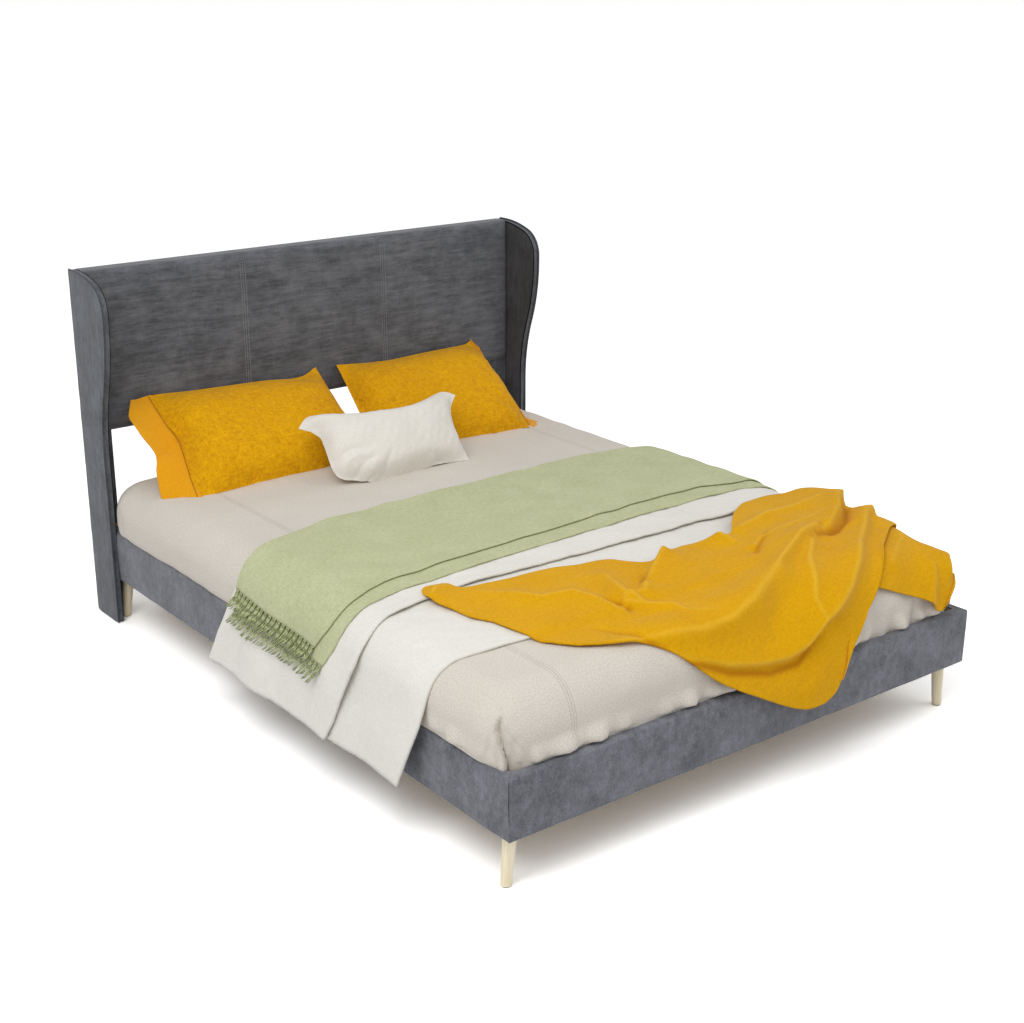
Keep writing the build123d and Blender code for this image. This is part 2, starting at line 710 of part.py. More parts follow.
for side, name in ((-1, "left"), (1, "right")):
    left_face = wing_inner if side > 0 else -wing_outer
    with BuildPart() as core:
        extrude(wing_outline(left_face + wing_padding, wing_padding + piping_size), amount=wing_core)
        for z in wing_bolt_heights:
            rod((side * (wing_inner + wing_padding + wing_bolt_bite_depth / 2), wing_bolt_place, z),
                wing_bolt_radius + bolt_clearance, wing_bolt_bite_depth + 2 * hole_overrun, along_x,
                Mode.SUBTRACT)
    save(core, f"wing_{name}_core")

    with BuildPart() as cover:
        extrude(wing_outline(left_face, piping_size), amount=wing_thickness)
        extrude(wing_outline(left_face + wing_padding, wing_padding + piping_size),
                amount=wing_core, mode=Mode.SUBTRACT)
        for z in wing_bolt_heights:
            rod((side * (wing_inner + wing_padding / 2), wing_bolt_place, z),
                wing_bolt_radius + bolt_clearance, wing_padding + 2 * hole_overrun, along_x,
                Mode.SUBTRACT)
    save(cover, f"wing_{name}_cover")

    outer_strip = wing_outer - piping_size if side > 0 else -wing_outer
    with BuildPart() as piping:
        extrude(wing_outline(outer_strip, 0), amount=piping_size)
        extrude(wing_outline(outer_strip, piping_size), amount=piping_size, mode=Mode.SUBTRACT)
    save(piping, f"wing_{name}_piping")

with BuildPart() as wing_bolts:
    for side in (-1, 1):
        end = wing_inner + wing_padding + wing_bolt_bite_depth
        for z in wing_bolt_heights:
            rod((side * (post_inner + end) / 2, wing_bolt_place, z), wing_bolt_radius,
                end - post_inner, along_x)
            rod((side * (post_inner - wing_bolt_head_height / 2), wing_bolt_place, z),
                wing_bolt_head_radius, wing_bolt_head_height, along_x)
save(wing_bolts, "wing_bolts")

with BuildPart() as headboard_glides:
    for side in (-1, 1):
        wing_middle = side * (wing_inner + wing_thickness / 2)
        rod((wing_middle, wing_front + glide_inset, glide_height / 2), glide_radius, glide_height,
            upright)
        rod((wing_middle, back - glide_inset, glide_height / 2), glide_radius, glide_height,
            upright)
        rod((side * post_middle, wing_bolt_place, glide_height / 2), glide_radius,
            glide_height, upright)
save(headboard_glides, "headboard_glides")


# Mattress: one section all along, drawn in, lowered and lifted by a quarter ellipse at its ends
def mattress_section(y, turn, inset):
    cut = 1 - cos(radians(turn))
    radius = shoulder_radius * (1 - (1 - mattress_end_radius_share) * cut)
    centre = side_reach - mattress_end_draw * cut - radius
    middle = crown_edge_height - mattress_end_drop * cut - radius * sin(radians(shoulder_high_turn))
    base = upper_bottom + mattress_end_lift * cut + inset
    edge = sheet_edge_reach - mattress_end_draw * cut - inset
    shoulder_turn = shoulder_high_turn - shoulder_low_turn
    with BuildSketch(front_plane(y)) as section:
        with BuildLine():
            right = CenterArc((centre, middle), radius - inset, shoulder_low_turn, shoulder_turn)
            left = CenterArc((-centre, middle), radius - inset, 180 - shoulder_high_turn,
                             shoulder_turn)
            crown = crown_height - mattress_end_drop * cut - inset
            ThreePointArc(right @ 1, (0, crown), left @ 0)
            Polyline(left @ 1, (-edge, base), (edge, base), right @ 0)
        make_face()
    return section.sketch


def mattress_body(inset):
    # the straight middle with a lofted end on each side, over the block that fills the frame
    starts = (mattress_front + mattress_foot_round, mattress_back - mattress_head_round)
    depths = (inset - mattress_foot_round, mattress_head_round - inset)
    extrude(mattress_section(starts[1], 0, inset), amount=starts[1] - starts[0])
    for start, depth in zip(starts, depths):
        loft([
            mattress_section(start + depth * sin(radians(turn)), turn, inset)
            for turn in mattress_end_turns
        ], ruled=True)


def well_block(inset, low):
    # the part of the mattress between the rails, with its upright edges rounded
    half = rail_inner - well_clearance - inset
    near = foot_rail_back + well_clearance + inset
    far = back - well_head_gap - inset
    with BuildSketch(Plane.XY.offset(low)) as plan:
        with Locations((0, (near + far) / 2)):
            RectangleRounded(2 * half, far - near, well_corner_radius - inset)
    return plan.sketch


with BuildPart() as mattress:
    mattress_body(sheet_thickness)
    extrude(well_block(sheet_thickness, bed_base), amount=rail_top + well_rise - bed_base)
save(mattress, "mattress")

hem = bed_base + sheet_hem_lift
with BuildPart() as fitted_sheet:
    mattress_body(0)
    extrude(well_block(0, hem), amount=rail_top + well_rise - hem)
    add(mattress.part, mode=Mode.SUBTRACT)
save(fitted_sheet, "fitted_sheet")


# Pillows and cushion: lens sections across a leaning plane, fullest in the middle of their length
def leaning_plane(centre, front, tilt):
    # runs through the lower and upper edges of a cushion, X along it and Y up its slope
    slope = radians(tilt)
    return Plane(origin=(centre, front, cushion_base), x_dir=(1, 0, 0),
                 z_dir=(0, -sin(slope), cos(slope)))


def lens(plane, x, low, high, height, depth):
    # two arcs between the lower and the upper edge, at this place along the cushion
    section_plane = Plane(origin=plane.from_local_coords((x, 0, 0)), x_dir=plane.y_dir,
                          z_dir=plane.x_dir)
    with BuildSketch(section_plane) as section:
        with BuildLine():
            ThreePointArc((low, 0), ((low + high) / 2, height), (high, 0))
            ThreePointArc((high, 0), ((low + high) / 2, -depth), (low, 0))
        make_face()
    return section.sketch


def cushion_lenses(plane, size, inset):
    width, length, height, depth = size
    return [
        lens(plane, (width / 2 - inset) * share, inset, length - inset, height * fullness - inset,
             depth * fullness - inset)
        for share, fullness in zip(ear_shares, fullness_shares)
    ]


pillow_size = (pillow_width, pillow_length, pillow_front, pillow_back)
pillow_lower_edge = panel_front - soft_gap - pillow_length * cos(radians(pillow_tilt))
cushion_size = (cushion_width, cushion_length, cushion_front, cushion_back)
cushion_upper_edge = pillow_lower_edge - cushion_pillow_gap
cushion_lower_edge = cushion_upper_edge - cushion_length * cos(radians(cushion_tilt))

for side, share, name in ((-1, pillow_left_share, "left"), (1, pillow_right_share, "right")):
    plane = leaning_plane(half_width * share, pillow_lower_edge, pillow_tilt)
    with BuildPart() as pillow:
        loft(cushion_lenses(plane, pillow_size, case_wall + case_gap))
    save(pillow, f"pillow_{name}")

    with BuildPart() as pillow_case:
        loft(cushion_lenses(plane, pillow_size, 0))
        loft(cushion_lenses(plane, pillow_size, case_wall), mode=Mode.SUBTRACT)
        with BuildSketch(plane.offset(-flange_thickness / 2)):
            flange_middle = side * (pillow_width - case_wall + flange_width) / 2
            with Locations((flange_middle, pillow_length / 2)):
                Rectangle(flange_width + case_wall, pillow_length - 2 * flange_thickness)
        extrude(amount=flange_thickness)
    save(pillow_case, f"pillow_{name}_case")

plane = leaning_plane(half_width * cushion_share, cushion_lower_edge, cushion_tilt)
with BuildPart() as cushion:
    loft(cushion_lenses(plane, cushion_size, case_wall + case_gap))
save(cushion, "lumbar_cushion")

with BuildPart() as cushion_cover:
    loft(cushion_lenses(plane, cushion_size, 0))
    loft(cushion_lenses(plane, cushion_size, case_wall), mode=Mode.SUBTRACT)
save(cushion_cover, "lumbar_cushion_cover")


# Duvet and throw: bands over the mattress that hang down both sides and flare outwards
def drape_band(y, inner, outer, hem):
    hang_turn = degrees(atan(hang_slope_share))
    shoulder_turn = shoulder_high_turn - hang_turn
    with BuildSketch(front_plane(y)) as section:
        with BuildLine():
            hems = []
            for grow in (inner, outer):
                radius = shoulder_radius + grow
                right = CenterArc((shoulder_centre, shoulder_height), radius, hang_turn,
                                  shoulder_turn)
                left = CenterArc((-shoulder_centre, shoulder_height), radius,
                                 180 - shoulder_high_turn, shoulder_turn)
                ThreePointArc(right @ 1, (0, crown_height + grow), left @ 0)
                for end, side in ((right @ 0, 1), (left @ 1, -1)):
                    reach = end.X + side * (end.Y - hem) * hang_slope_share
                    hems.append(Line(end, (reach, hem)) @ 1)
            Line(hems[0], hems[2])
            Line(hems[1], hems[3])
        make_face()
    return section.sketch


with BuildPart() as duvet:
    extrude(drape_band(foot + duvet_fold, soft_gap, soft_gap + duvet_layer, duvet_hem),
            amount=duvet_fold - duvet_front)
    extrude(drape_band(foot + duvet_fold, soft_gap + duvet_layer, duvet_top, duvet_upper_hem),
            amount=duvet_fold - duvet_upper_front)
save(duvet, "duvet")

throw_rows = ((throw_base, throw_front, throw_hem),
              (throw_base + throw_layer, throw_upper_front, throw_upper_hem))
with BuildPart() as throw:
    for inner, front, hem in throw_rows:
        extrude(drape_band(foot + throw_fold, inner, inner + throw_layer, hem),
                amount=throw_fold - front)
save(throw, "throw")

with BuildPart() as throw_fringe:
    slope = atan(hang_slope_share)
    for inner, front, hem in throw_rows:
        radius = shoulder_radius + inner + (throw_layer - fringe_thickness) / 2
        header = hem - fringe_thickness * sin(slope)
        drop = shoulder_height + radius * sin(slope) - header
        reach = shoulder_centre + radius * cos(slope) + drop * hang_slope_share
        length = throw_fold - front
        tassel_count = int(length / tassel_pitch)
        for side in (-1, 1):
            hem_plane = Plane(origin=(side * reach, foot + (front + throw_fold) / 2, header),
                              x_dir=(0, side, 0), z_dir=(side * cos(slope), 0, sin(slope)))
            with BuildSketch(hem_plane):
                with Locations((0, -fringe_header / 2)):
                    Rectangle(length, fringe_header)
                with Locations((0, -fringe_length / 2)):
                    with GridLocations(tassel_pitch, 0, tassel_count, 1):
                        Rectangle(tassel_width, fringe_length)
            extrude(amount=fringe_thickness)
save(throw_fringe, "throw_fringe")


# Blanket: a ridged heap across the foot end, a tip over the foot rail and a corner over the side
def blanket_base(x):
    # height of the arc over both duvet layers at this place across the bed
    radius = shoulder_radius + throw_base
    edge = shoulder_centre + radius * cos(radians(shoulder_high_turn))
    rise = crown_height + throw_base - shoulder_height - radius * sin(radians(shoulder_high_turn))
    arc_radius = (edge**2 + rise**2) / (2 * rise)
    return crown_height + throw_base + blanket_clearance - x**2 / (2 * arc_radius)


def heap_section(place_share, front_share, rear_share, ridge_share):
    x = half_width * place_share
    base = blanket_base(x)
    near = foot + blanket_reach * front_share
    far = foot + blanket_reach * rear_share
    ridge = blanket_ridge * ridge_share
    with BuildSketch(side_plane(x)) as section:
        with BuildLine():
            Line((near, base), (far, base))
            Line((far, base), (far, base + blanket_edge))
            ThreePointArc((far, base + blanket_edge),
                          ((near + far) / 2, base + blanket_edge + ridge),
                          (near, base + blanket_edge))
            Line((near, base + blanket_edge), (near, base))
        make_face()
    return section.sketch


def tip_section(place_share, drop_share):
    # rests on the heap's base, bends over the foot end and hangs in front of the foot rail
    x = half_width * place_share
    base = blanket_base(x)
    hem = base - blanket_bend - blanket_tip_drop * drop_share
    bend_middle = foot - blanket_rail_gap + blanket_bend
    outer_bend = blanket_bend + blanket_layer
    with BuildSketch(side_plane(x)) as section:
        with BuildLine():
            inner = CenterArc((bend_middle, base - blanket_bend), blanket_bend, 90, 90)
            outer = CenterArc((bend_middle, base - blanket_bend), outer_bend, 90, 90)
            root = bend_middle + blanket_bend
            Polyline(inner @ 0, (root, base), (root, base + blanket_layer), outer @ 0)
            Polyline(inner @ 1, (foot + blanket_layer - blanket_lip, hem),
                     (foot - blanket_lip, hem), outer @ 1)
        make_face()
    return section.sketch


with BuildPart() as blanket:
    loft([
        heap_section(*shares)
        for shares in zip(blanket_place_shares, blanket_front_shares, blanket_rear_shares,
                          blanket_ridge_shares)
    ], ruled=True)
    loft([
        tip_section(*shares) for shares in zip(blanket_tip_place_shares, blanket_tip_drop_shares)
    ], ruled=True)
    with BuildSketch(front_plane(foot + blanket_corner_rear)):
        with BuildLine():
            hang_turn = degrees(atan(hang_slope_share))
            shoulder_turn = blanket_corner_turn - hang_turn
            ends = []
            for grow in (throw_base, throw_base + blanket_layer):
                shoulder = CenterArc((shoulder_centre, shoulder_height), shoulder_radius + grow,
                                     hang_turn, shoulder_turn)
                low = shoulder @ 0
                reach = low.X + (low.Y - blanket_corner_hem) * hang_slope_share
                ends.append((Line(low, (reach, blanket_corner_hem)) @ 1, shoulder @ 1))
            for first, second in zip(*ends):
                Line(first, second)
        make_face()
    extrude(amount=blanket_corner_rear - blanket_corner_front)
save(blanket, "blanket")
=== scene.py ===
import bmesh
import bpy
import numpy as np
from math import atan, cos, pi, radians, sin, sqrt
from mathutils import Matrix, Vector


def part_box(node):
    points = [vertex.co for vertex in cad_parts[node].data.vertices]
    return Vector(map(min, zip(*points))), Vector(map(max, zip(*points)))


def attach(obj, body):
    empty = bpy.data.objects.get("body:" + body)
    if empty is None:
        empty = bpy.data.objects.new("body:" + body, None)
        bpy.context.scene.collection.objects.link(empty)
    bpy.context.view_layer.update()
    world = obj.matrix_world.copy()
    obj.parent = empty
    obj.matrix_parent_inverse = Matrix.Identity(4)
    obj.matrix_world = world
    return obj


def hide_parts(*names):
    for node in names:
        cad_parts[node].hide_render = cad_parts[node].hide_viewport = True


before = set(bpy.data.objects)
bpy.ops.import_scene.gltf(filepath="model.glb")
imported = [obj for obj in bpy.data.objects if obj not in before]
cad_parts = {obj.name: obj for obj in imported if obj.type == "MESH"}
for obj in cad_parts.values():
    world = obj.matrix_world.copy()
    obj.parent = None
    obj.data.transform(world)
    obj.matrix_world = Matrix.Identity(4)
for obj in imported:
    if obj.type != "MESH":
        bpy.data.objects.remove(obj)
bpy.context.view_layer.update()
print("frame loaded")

# the bed's own sizes, in metres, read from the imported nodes
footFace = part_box("foot_rail_cover")[0].y
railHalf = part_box("foot_rail_cover")[1].x
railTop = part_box("foot_rail_cover")[1].z
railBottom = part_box("foot_rail_cover")[0].z
railMiddle = (railTop + railBottom) / 2
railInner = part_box("head_rail")[1].x
railDepth = railHalf - railInner
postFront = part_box("side_rail_left_cover")[1].y
panelLow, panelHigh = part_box("headboard_cover")
sheetLow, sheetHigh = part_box("fitted_sheet")
bedTop = sheetHigh.z


def ease(value, low, high):
    # smooth step from 0 at low to 1 at high: 3t^2 - 2t^3
    t = np.clip((value - low) / (high - low), 0, 1)
    return t * t * (3 - 2 * t)


def waves(u, v, wavelength, seed, count=12):
    # sum of cosine waves of random heading and phase near one wavelength, about -1 to 1
    rng = np.random.default_rng(seed)
    heading = rng.uniform(0, 2 * pi, count)
    rate = 2 * pi / wavelength * rng.uniform(0.65, 1.5, count)
    phase = rng.uniform(0, 2 * pi, count)
    along = u[..., None] * np.cos(heading) + v[..., None] * np.sin(heading)
    return np.cos(along * rate + phase).sum(-1) / sqrt(count)


def surfaceMesh(name, points, uv=None):
    # quads between neighbouring points of a grid, with the places on the flat cloth as uv
    rows, columns = points.shape[:2]
    index = np.arange(rows * columns).reshape(rows, columns)
    quads = np.stack([index[:-1, :-1], index[:-1, 1:], index[1:, 1:], index[1:, :-1]], -1)
    mesh = bpy.data.meshes.new(name)
    mesh.from_pydata(points.reshape(-1, 3).tolist(), [], quads.reshape(-1, 4).tolist())
    if uv is not None:
        corners = np.empty(len(mesh.loops), dtype=np.int32)
        mesh.loops.foreach_get("vertex_index", corners)
        layer = mesh.uv_layers.new(name="flat")
        layer.data.foreach_set("uv", uv.reshape(-1, 2)[corners].astype(np.float32).ravel())
    mesh.update()
    return mesh


def closedMesh(name, tubes):
    # one closed tube or many: quads between the rings of each, a face over both ends, all outward
    tubes = tubes.reshape(-1, *tubes.shape[-3:])
    index = np.arange(tubes.size // 3).reshape(tubes.shape[:3])
    ring = np.concatenate([index, index[..., :1]], -1)
    quads = np.stack([ring[:, :-1, :-1], ring[:, :-1, 1:], ring[:, 1:, 1:], ring[:, 1:, :-1]], -1)
    faces = quads.reshape(-1, 4).tolist() + index[:, 0].tolist() + index[:, -1, ::-1].tolist()
    mesh = bpy.data.meshes.new(name)
    mesh.from_pydata(tubes.reshape(-1, 3).tolist(), [], faces)
    shell = bmesh.new()
    shell.from_mesh(mesh)
    bmesh.ops.remove_doubles(shell, verts=shell.verts, dist=1e-6)
    bmesh.ops.recalc_face_normals(shell, faces=shell.faces)
    shell.to_mesh(mesh)
    shell.free()
    return mesh


def circle(count):
    return np.linspace(0, 2 * pi, count, endpoint=False)


def lengthsAlong(line):
    # length from the start of a line to each of its points
    return np.concatenate([[0], np.cumsum(np.linalg.norm(np.diff(line, axis=0), axis=1))])


def sampled(line, lengths, at):
    # points of a line read at other lengths along it
    return np.stack([np.interp(at, lengths, column) for column in line.T], -1)


def smoothed(line, kernel):
    # running mean of each column, weighted by the kernel, with the ends mirrored
    half = len(kernel) // 2
    padded = np.pad(line, ((half, half), (0, 0)), mode="reflect", reflect_type="odd")
    return np.stack([np.convolve(column, kernel / kernel.sum(), "valid") for column in padded.T], -1)


def fromPlaces(places, at):
    # the value at a place, read between (place, value) pairs
    return np.interp(at, *zip(*places))


def readAll(items, name):
    # a vector attribute of every vertex or face of a mesh
    values = np.empty(len(items) * 3, dtype=np.float32)
    items.foreach_get(name, values)
    return values.reshape(-1, 3)


def added(name, data):
    made = bpy.data.objects.new(name, data)
    bpy.context.scene.collection.objects.link(made)
    return made


def place(name, mesh, material, body, slotName):
    piece = added(name, mesh)
    mesh.materials.append(material)
    mesh.polygons.foreach_set("use_smooth", [True] * len(mesh.polygons))
    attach(piece, body)
    return piece


def thicken(piece, thickness, offset=-1.0):
    shell = piece.modifiers.new("thickness", "SOLIDIFY")
    shell.thickness = thickness
    shell.offset = offset
    shell.use_even_offset = False


def subdivide(piece, level=1):
    finer = piece.modifiers.new("finer", "SUBSURF")
    finer.levels = level
    finer.render_levels = level


class Shade:
    # one output of a material's nodes; formulas on it add Math nodes
    def __init__(self, tree, socket=None):
        self.tree = tree
        self.socket = socket

    def node(self, kind, settings=None, values=None, output=0):
        made = self.tree.nodes.new(kind)
        for key, value in (settings or {}).items():
            setattr(made, key, value)
        for key, value in (values or {}).items():
            if isinstance(value, Shade):
                self.tree.links.new(value.socket, made.inputs[key])
            else:
                made.inputs[key].default_value = value
        return Shade(self.tree, made.outputs[output])

    def maths(self, operation, first, second=0.0, third=0.0):
        return self.node("ShaderNodeMath", {"operation": operation}, {0: first, 1: second, 2: third})

    def __add__(self, other):
        return self.maths("ADD", self, other)

    __radd__ = __add__

    def __sub__(self, other):
        return self.maths("SUBTRACT", self, other)

    def __rsub__(self, other):
        return self.maths("SUBTRACT", other, self)

    def __mul__(self, other):
        return self.maths("MULTIPLY", self, other)

    __rmul__ = __mul__

    def __abs__(self):
        return self.maths("ABSOLUTE", self)

    def sine(self):
        return self.maths("SINE", self)

    def part(self, axis):
        return self.node("ShaderNodeSeparateXYZ", None, {0: self}, axis)

    def mapped(self, scale=(1, 1, 1), turn=(0, 0, 0)):
        return self.node("ShaderNodeMapping", None,
                         {"Vector": self, "Rotation": turn, "Scale": scale})

    def clamp(self, low=0.0, high=1.0):
        return self.node("ShaderNodeClamp", None, {0: self, 1: low, 2: high})

    def between(self, low, high):
        # 0 at low and 1 at high, smooth
        return self.node("ShaderNodeMapRange", {"interpolation_type": "SMOOTHSTEP"},
                         {0: self, 1: low, 2: high, 3: 0.0, 4: 1.0})

    def colours(self, first, second):
        # first colour where this is 0, second where it is 1
        return self.node("ShaderNodeMix", {"data_type": "RGBA"}, {0: self, 6: first, 7: second}, 2)


def startMaterial(name):
    material = bpy.data.materials.new(name)
    material.use_nodes = True
    tree = material.node_tree
    return material, Shade(tree), tree.nodes["Principled BSDF"]


def feed(shade, bsdf, **sockets):
    names = {"colour": "Base Color", "roughness": "Roughness", "sheen": "Sheen Weight",
             "sheenRoughness": "Sheen Roughness", "metal": "Metallic", "normal": "Normal",
             "specular": "Specular IOR Level"}
    for key, value in sockets.items():
        socket = bsdf.inputs[names[key]]
        if isinstance(value, Shade):
            shade.tree.links.new(value.socket, socket)
        else:
            socket.default_value = value


def objectCoordinates(shade, scale=(1, 1, 1), turn=(0, 0, 0)):
    return shade.node("ShaderNodeTexCoord", output="Object").mapped(scale, turn)


def flatCoordinates(shade, scale=(1, 1, 1)):
    return shade.node("ShaderNodeUVMap", {"uv_map": "flat"}).mapped(scale)


def noise(shade, vector, scale, detail=3.0, roughness=0.55):
    values = {"Vector": vector, "Scale": scale, "Detail": detail, "Roughness": roughness}
    return shade.node("ShaderNodeTexNoise", None, values)


def bump(shade, height, depth, strength=1.0):
    values = {"Height": height, "Distance": depth, "Strength": strength}
    return shade.node("ShaderNodeBump", None, values)


def tone(red, green, blue):
    # a screen colour of 0 to 255 as the light that it stands for
    def light(value):
        share = value / 255
        return share / 12.92 if share <= 0.04045 else ((share + 0.055) / 1.055) ** 2.4
    return (light(red), light(green), light(blue), 1.0)


# the fitted sheet's own sizes come first, because its finish has its seams
sheet = {"hem": 0.262, "thickness": 0.0025, "seam": 0.6, "stitchRow": 0.0075, "stitch": 0.005,
         "scallop": 0.014, "scallopLength": 0.09, "halfWidth": 0.83, "narrower": 0.0225,
         "pocket": [(-0.79, 0.052, 0.0), (-0.812, 0.05, 0.012), (-0.836, 0.039, 0.016),
                    (-0.858, 0.001, 0.017), (-0.876, -0.07, 0.019)]}

# Finishes

def velvetMaterial(name, stretch, dark, pale, streak=0.6, cross=0.25, clouds=13.0, fine=4.2):
    # brushed pile: long strokes and finer ones along one direction, some across it, over clouds
    material, shade, bsdf = startMaterial(name)
    thin = tuple(fine * value for value in stretch)
    strokes = noise(shade, objectCoordinates(shade, stretch), 1.0, 6.0, 0.68)
    finer = noise(shade, objectCoordinates(shade, thin), 1.0, 4.0, 0.6)
    other = noise(shade, objectCoordinates(shade, stretch[::-1]), 2.6, 3.0, 0.6)
    clouded = noise(shade, objectCoordinates(shade), clouds, 5.0, 0.66)
    grain = noise(shade, objectCoordinates(shade), 260.0, 3.0, 0.7)
    mask = strokes.between(0.3, 0.72) * streak + clouded.between(0.3, 0.72) * (1 - streak)
    mask = mask + (finer - 0.5) * 0.9 + (other - 0.5) * cross + (grain - 0.5) * 0.9
    height = grain * 0.6 + finer * 0.4
    feed(shade, bsdf, colour=mask.clamp().colours(dark, pale), roughness=0.72 + mask.clamp() * 0.2,
         sheen=0.25, sheenRoughness=0.45, specular=0.25, normal=bump(shade, height, 0.0015, 0.6))
    return material


def clothMaterial(name, first, second, speckle, fine, depth, roughness=0.9, sheen=0.15, clouds=3.0,
                  cloudShare=0.3):
    # plain cloth: a speckle of two tones, fine grain in the bump and slow clouds over all
    material, shade, bsdf = startMaterial(name)
    spots = noise(shade, objectCoordinates(shade), speckle, 3.0, 0.7)
    grain = noise(shade, objectCoordinates(shade), fine, 2.0, 0.6)
    slow = noise(shade, objectCoordinates(shade), clouds, 2.0, 0.5)
    mask = (spots.between(0.35, 0.65) * (1 - cloudShare) + slow.between(0.35, 0.65) * cloudShare)
    feed(shade, bsdf, colour=mask.clamp().colours(first, second), roughness=roughness, sheen=sheen,
         sheenRoughness=0.5, specular=0.2, normal=bump(shade, grain + spots * 0.5, depth, 0.6))
    return material


def fleeceMaterial(name, first, second, paintedCrestHighlight, paintedTroughShade):
    # short even nap; the crest attribute of the mesh places a painted highlight along crests and
    # painted shade in troughs
    material, shade, bsdf = startMaterial(name)
    nap = noise(shade, objectCoordinates(shade), 420.0, 3.0, 0.7)
    tufts = noise(shade, objectCoordinates(shade), 120.0, 3.0, 0.6)
    slow = noise(shade, objectCoordinates(shade), 9.0, 2.0, 0.5)
    mask = nap.between(0.25, 0.75) * 0.45 + tufts.between(0.3, 0.7) * 0.25 + slow * 0.3
    crest = shade.node("ShaderNodeAttribute", {"attribute_name": "crest"}, None, 2)
    # painted highlight along the crests, then painted shade in the troughs
    colour = (crest.clamp() * 0.36).colours(mask.clamp().colours(first, second), paintedCrestHighlight)
    colour = ((crest * -1).clamp() * 0.8).colours(colour, paintedTroughShade)
    feed(shade, bsdf, colour=colour, roughness=0.95, sheen=0.08, sheenRoughness=0.5, specular=0.1,
         normal=bump(shade, nap * 0.5 + tufts * 0.6, 0.0016, 0.7))
    return material


def sheetMaterial(name, first, second):
    # heathered linen, with a row of stitches each side of the two long seams
    material, shade, bsdf = startMaterial(name)
    vector = flatCoordinates(shade)
    spots = noise(shade, vector, 260.0, 3.0, 0.75)
    fibres = noise(shade, flatCoordinates(shade, (700, 90, 1)), 1.0, 2.0, 0.5)
    others = noise(shade, flatCoordinates(shade, (90, 700, 1)), 1.0, 2.0, 0.5)
    slow = noise(shade, vector, 4.0, 2.0, 0.5)
    away = abs(abs(vector.part(0)) - sheet["seam"])
    rows = 1 - abs(away - sheet["stitchRow"]).between(0.0003, 0.0013)
    dashes = (vector.part(1) * (2 * pi / sheet["stitch"])).sine().between(-0.5, 0.1)
    seam = 1 - away.between(0.0004, 0.0016)
    marks = (rows * dashes * 0.8 + seam * 0.6).clamp()
    mask = spots.between(0.3, 0.7) * 0.6 + fibres * 0.3 + others * 0.3 - 0.1 + (slow - 0.5) * 0.25
    colour = mask.clamp().colours(first, second)
    darker = (marks * 0.6).colours(colour, tone(140, 128, 112))
    height = spots * 0.6 + fibres * 0.5 + others * 0.5 - marks * 1.5
    feed(shade, bsdf, colour=darker, roughness=0.92, sheen=0.1, sheenRoughness=0.5, specular=0.15,
         normal=bump(shade, height, 0.0012, 0.6))
    return material


def weaveMaterial(name, first, second, turn, pitch, depth, flat=False, slub=0.5, clouds=4.0,
                  slubScale=(260, 36)):
    # crossing threads: two sine waves set at right angles, broken by slubs along each thread
    material, shade, bsdf = startMaterial(name)
    vector = flatCoordinates(shade) if flat else objectCoordinates(shade, turn=turn)
    rate = 2 * pi / pitch
    wobble = noise(shade, vector, 60.0, 2.0, 0.5) * 2.4
    warp, weft = [(vector.part(axis) * rate + wobble).sine() * 0.5 + 0.5 for axis in (0, 1)]
    thin, long = slubScale
    warpSlubs = noise(shade, vector.mapped((thin, long, long)), 1.0, 3.0, 0.6)
    weftSlubs = noise(shade, vector.mapped((long, thin, long)), 1.0, 3.0, 0.6)
    slubs = warpSlubs.between(0.32, 0.68) * 0.5 + weftSlubs.between(0.32, 0.68) * 0.5
    slow = noise(shade, vector, clouds, 2.0, 0.5)
    threads = warp * 0.5 + weft * 0.5
    mask = threads * (1 - slub) + slubs * slub + (slow - 0.5) * 0.5
    feed(shade, bsdf, colour=mask.clamp().colours(first, second), roughness=0.88, sheen=0.04,
         sheenRoughness=0.5, specular=0.12, normal=bump(shade, threads * 0.5 + slubs, depth, 0.7))
    return material


def woodMaterial(name, pale, dark, stretch, roughness=0.5):
    # grain lines stretched along the piece, with slow bands of tone
    material, shade, bsdf = startMaterial(name)
    finer = tuple(4 * value for value in stretch)
    bands = noise(shade, objectCoordinates(shade, stretch), 1.0, 4.0, 0.6)
    fibre = noise(shade, objectCoordinates(shade, finer), 1.0, 2.0, 0.5)
    mask = (bands.between(0.35, 0.7) * 0.7 + fibre.between(0.4, 0.65) * 0.3).clamp()
    feed(shade, bsdf, colour=mask.colours(pale, dark), roughness=roughness + mask * 0.1,
         specular=0.4, normal=bump(shade, fibre, 0.0003, 0.4))
    return material


def metalMaterial(name, colour, roughness, metal):
    material, shade, bsdf = startMaterial(name)
    scratch = noise(shade, objectCoordinates(shade, (60, 900, 900)), 1.0, 2.0, 0.5)
    paler = tuple(min(1.0, value * 1.25) for value in colour[:3]) + (1.0,)
    feed(shade, bsdf, colour=scratch.colours(colour, paler), roughness=roughness + scratch * 0.15,
         metal=metal, normal=bump(shade, scratch, 0.0001, 0.3))
    return material


panelVelvet = velvetMaterial("panelVelvet", (9, 62, 62), tone(65, 67, 72), tone(111, 113, 119), 0.5,
                             fine=2.6)
wingVelvet = velvetMaterial("wingVelvet", (60, 60, 9), tone(58, 61, 67), tone(107, 111, 118), 0.5)
railVelvet = velvetMaterial("railVelvet", (60, 60, 44), tone(78, 80, 86), tone(132, 134, 142), 0.45,
                            0.3, 9.0)
pipingVelvet = velvetMaterial("pipingVelvet", (60, 60, 60), tone(46, 48, 52), tone(80, 83, 88), 0.3)
# a darker copy of the wing velvet for the inner faces: painted shade
wingVelvetPaintedShade = velvetMaterial("wingVelvetPaintedShade", (60, 60, 9), tone(38, 38, 40),
                                 tone(70, 70, 73), 0.5)
stitchThread = clothMaterial("stitchThread", tone(112, 114, 118), tone(146, 148, 152), 900, 900,
                             0.0002)
sheetLinen = sheetMaterial("sheetLinen", tone(190, 181, 169), tone(232, 226, 217))
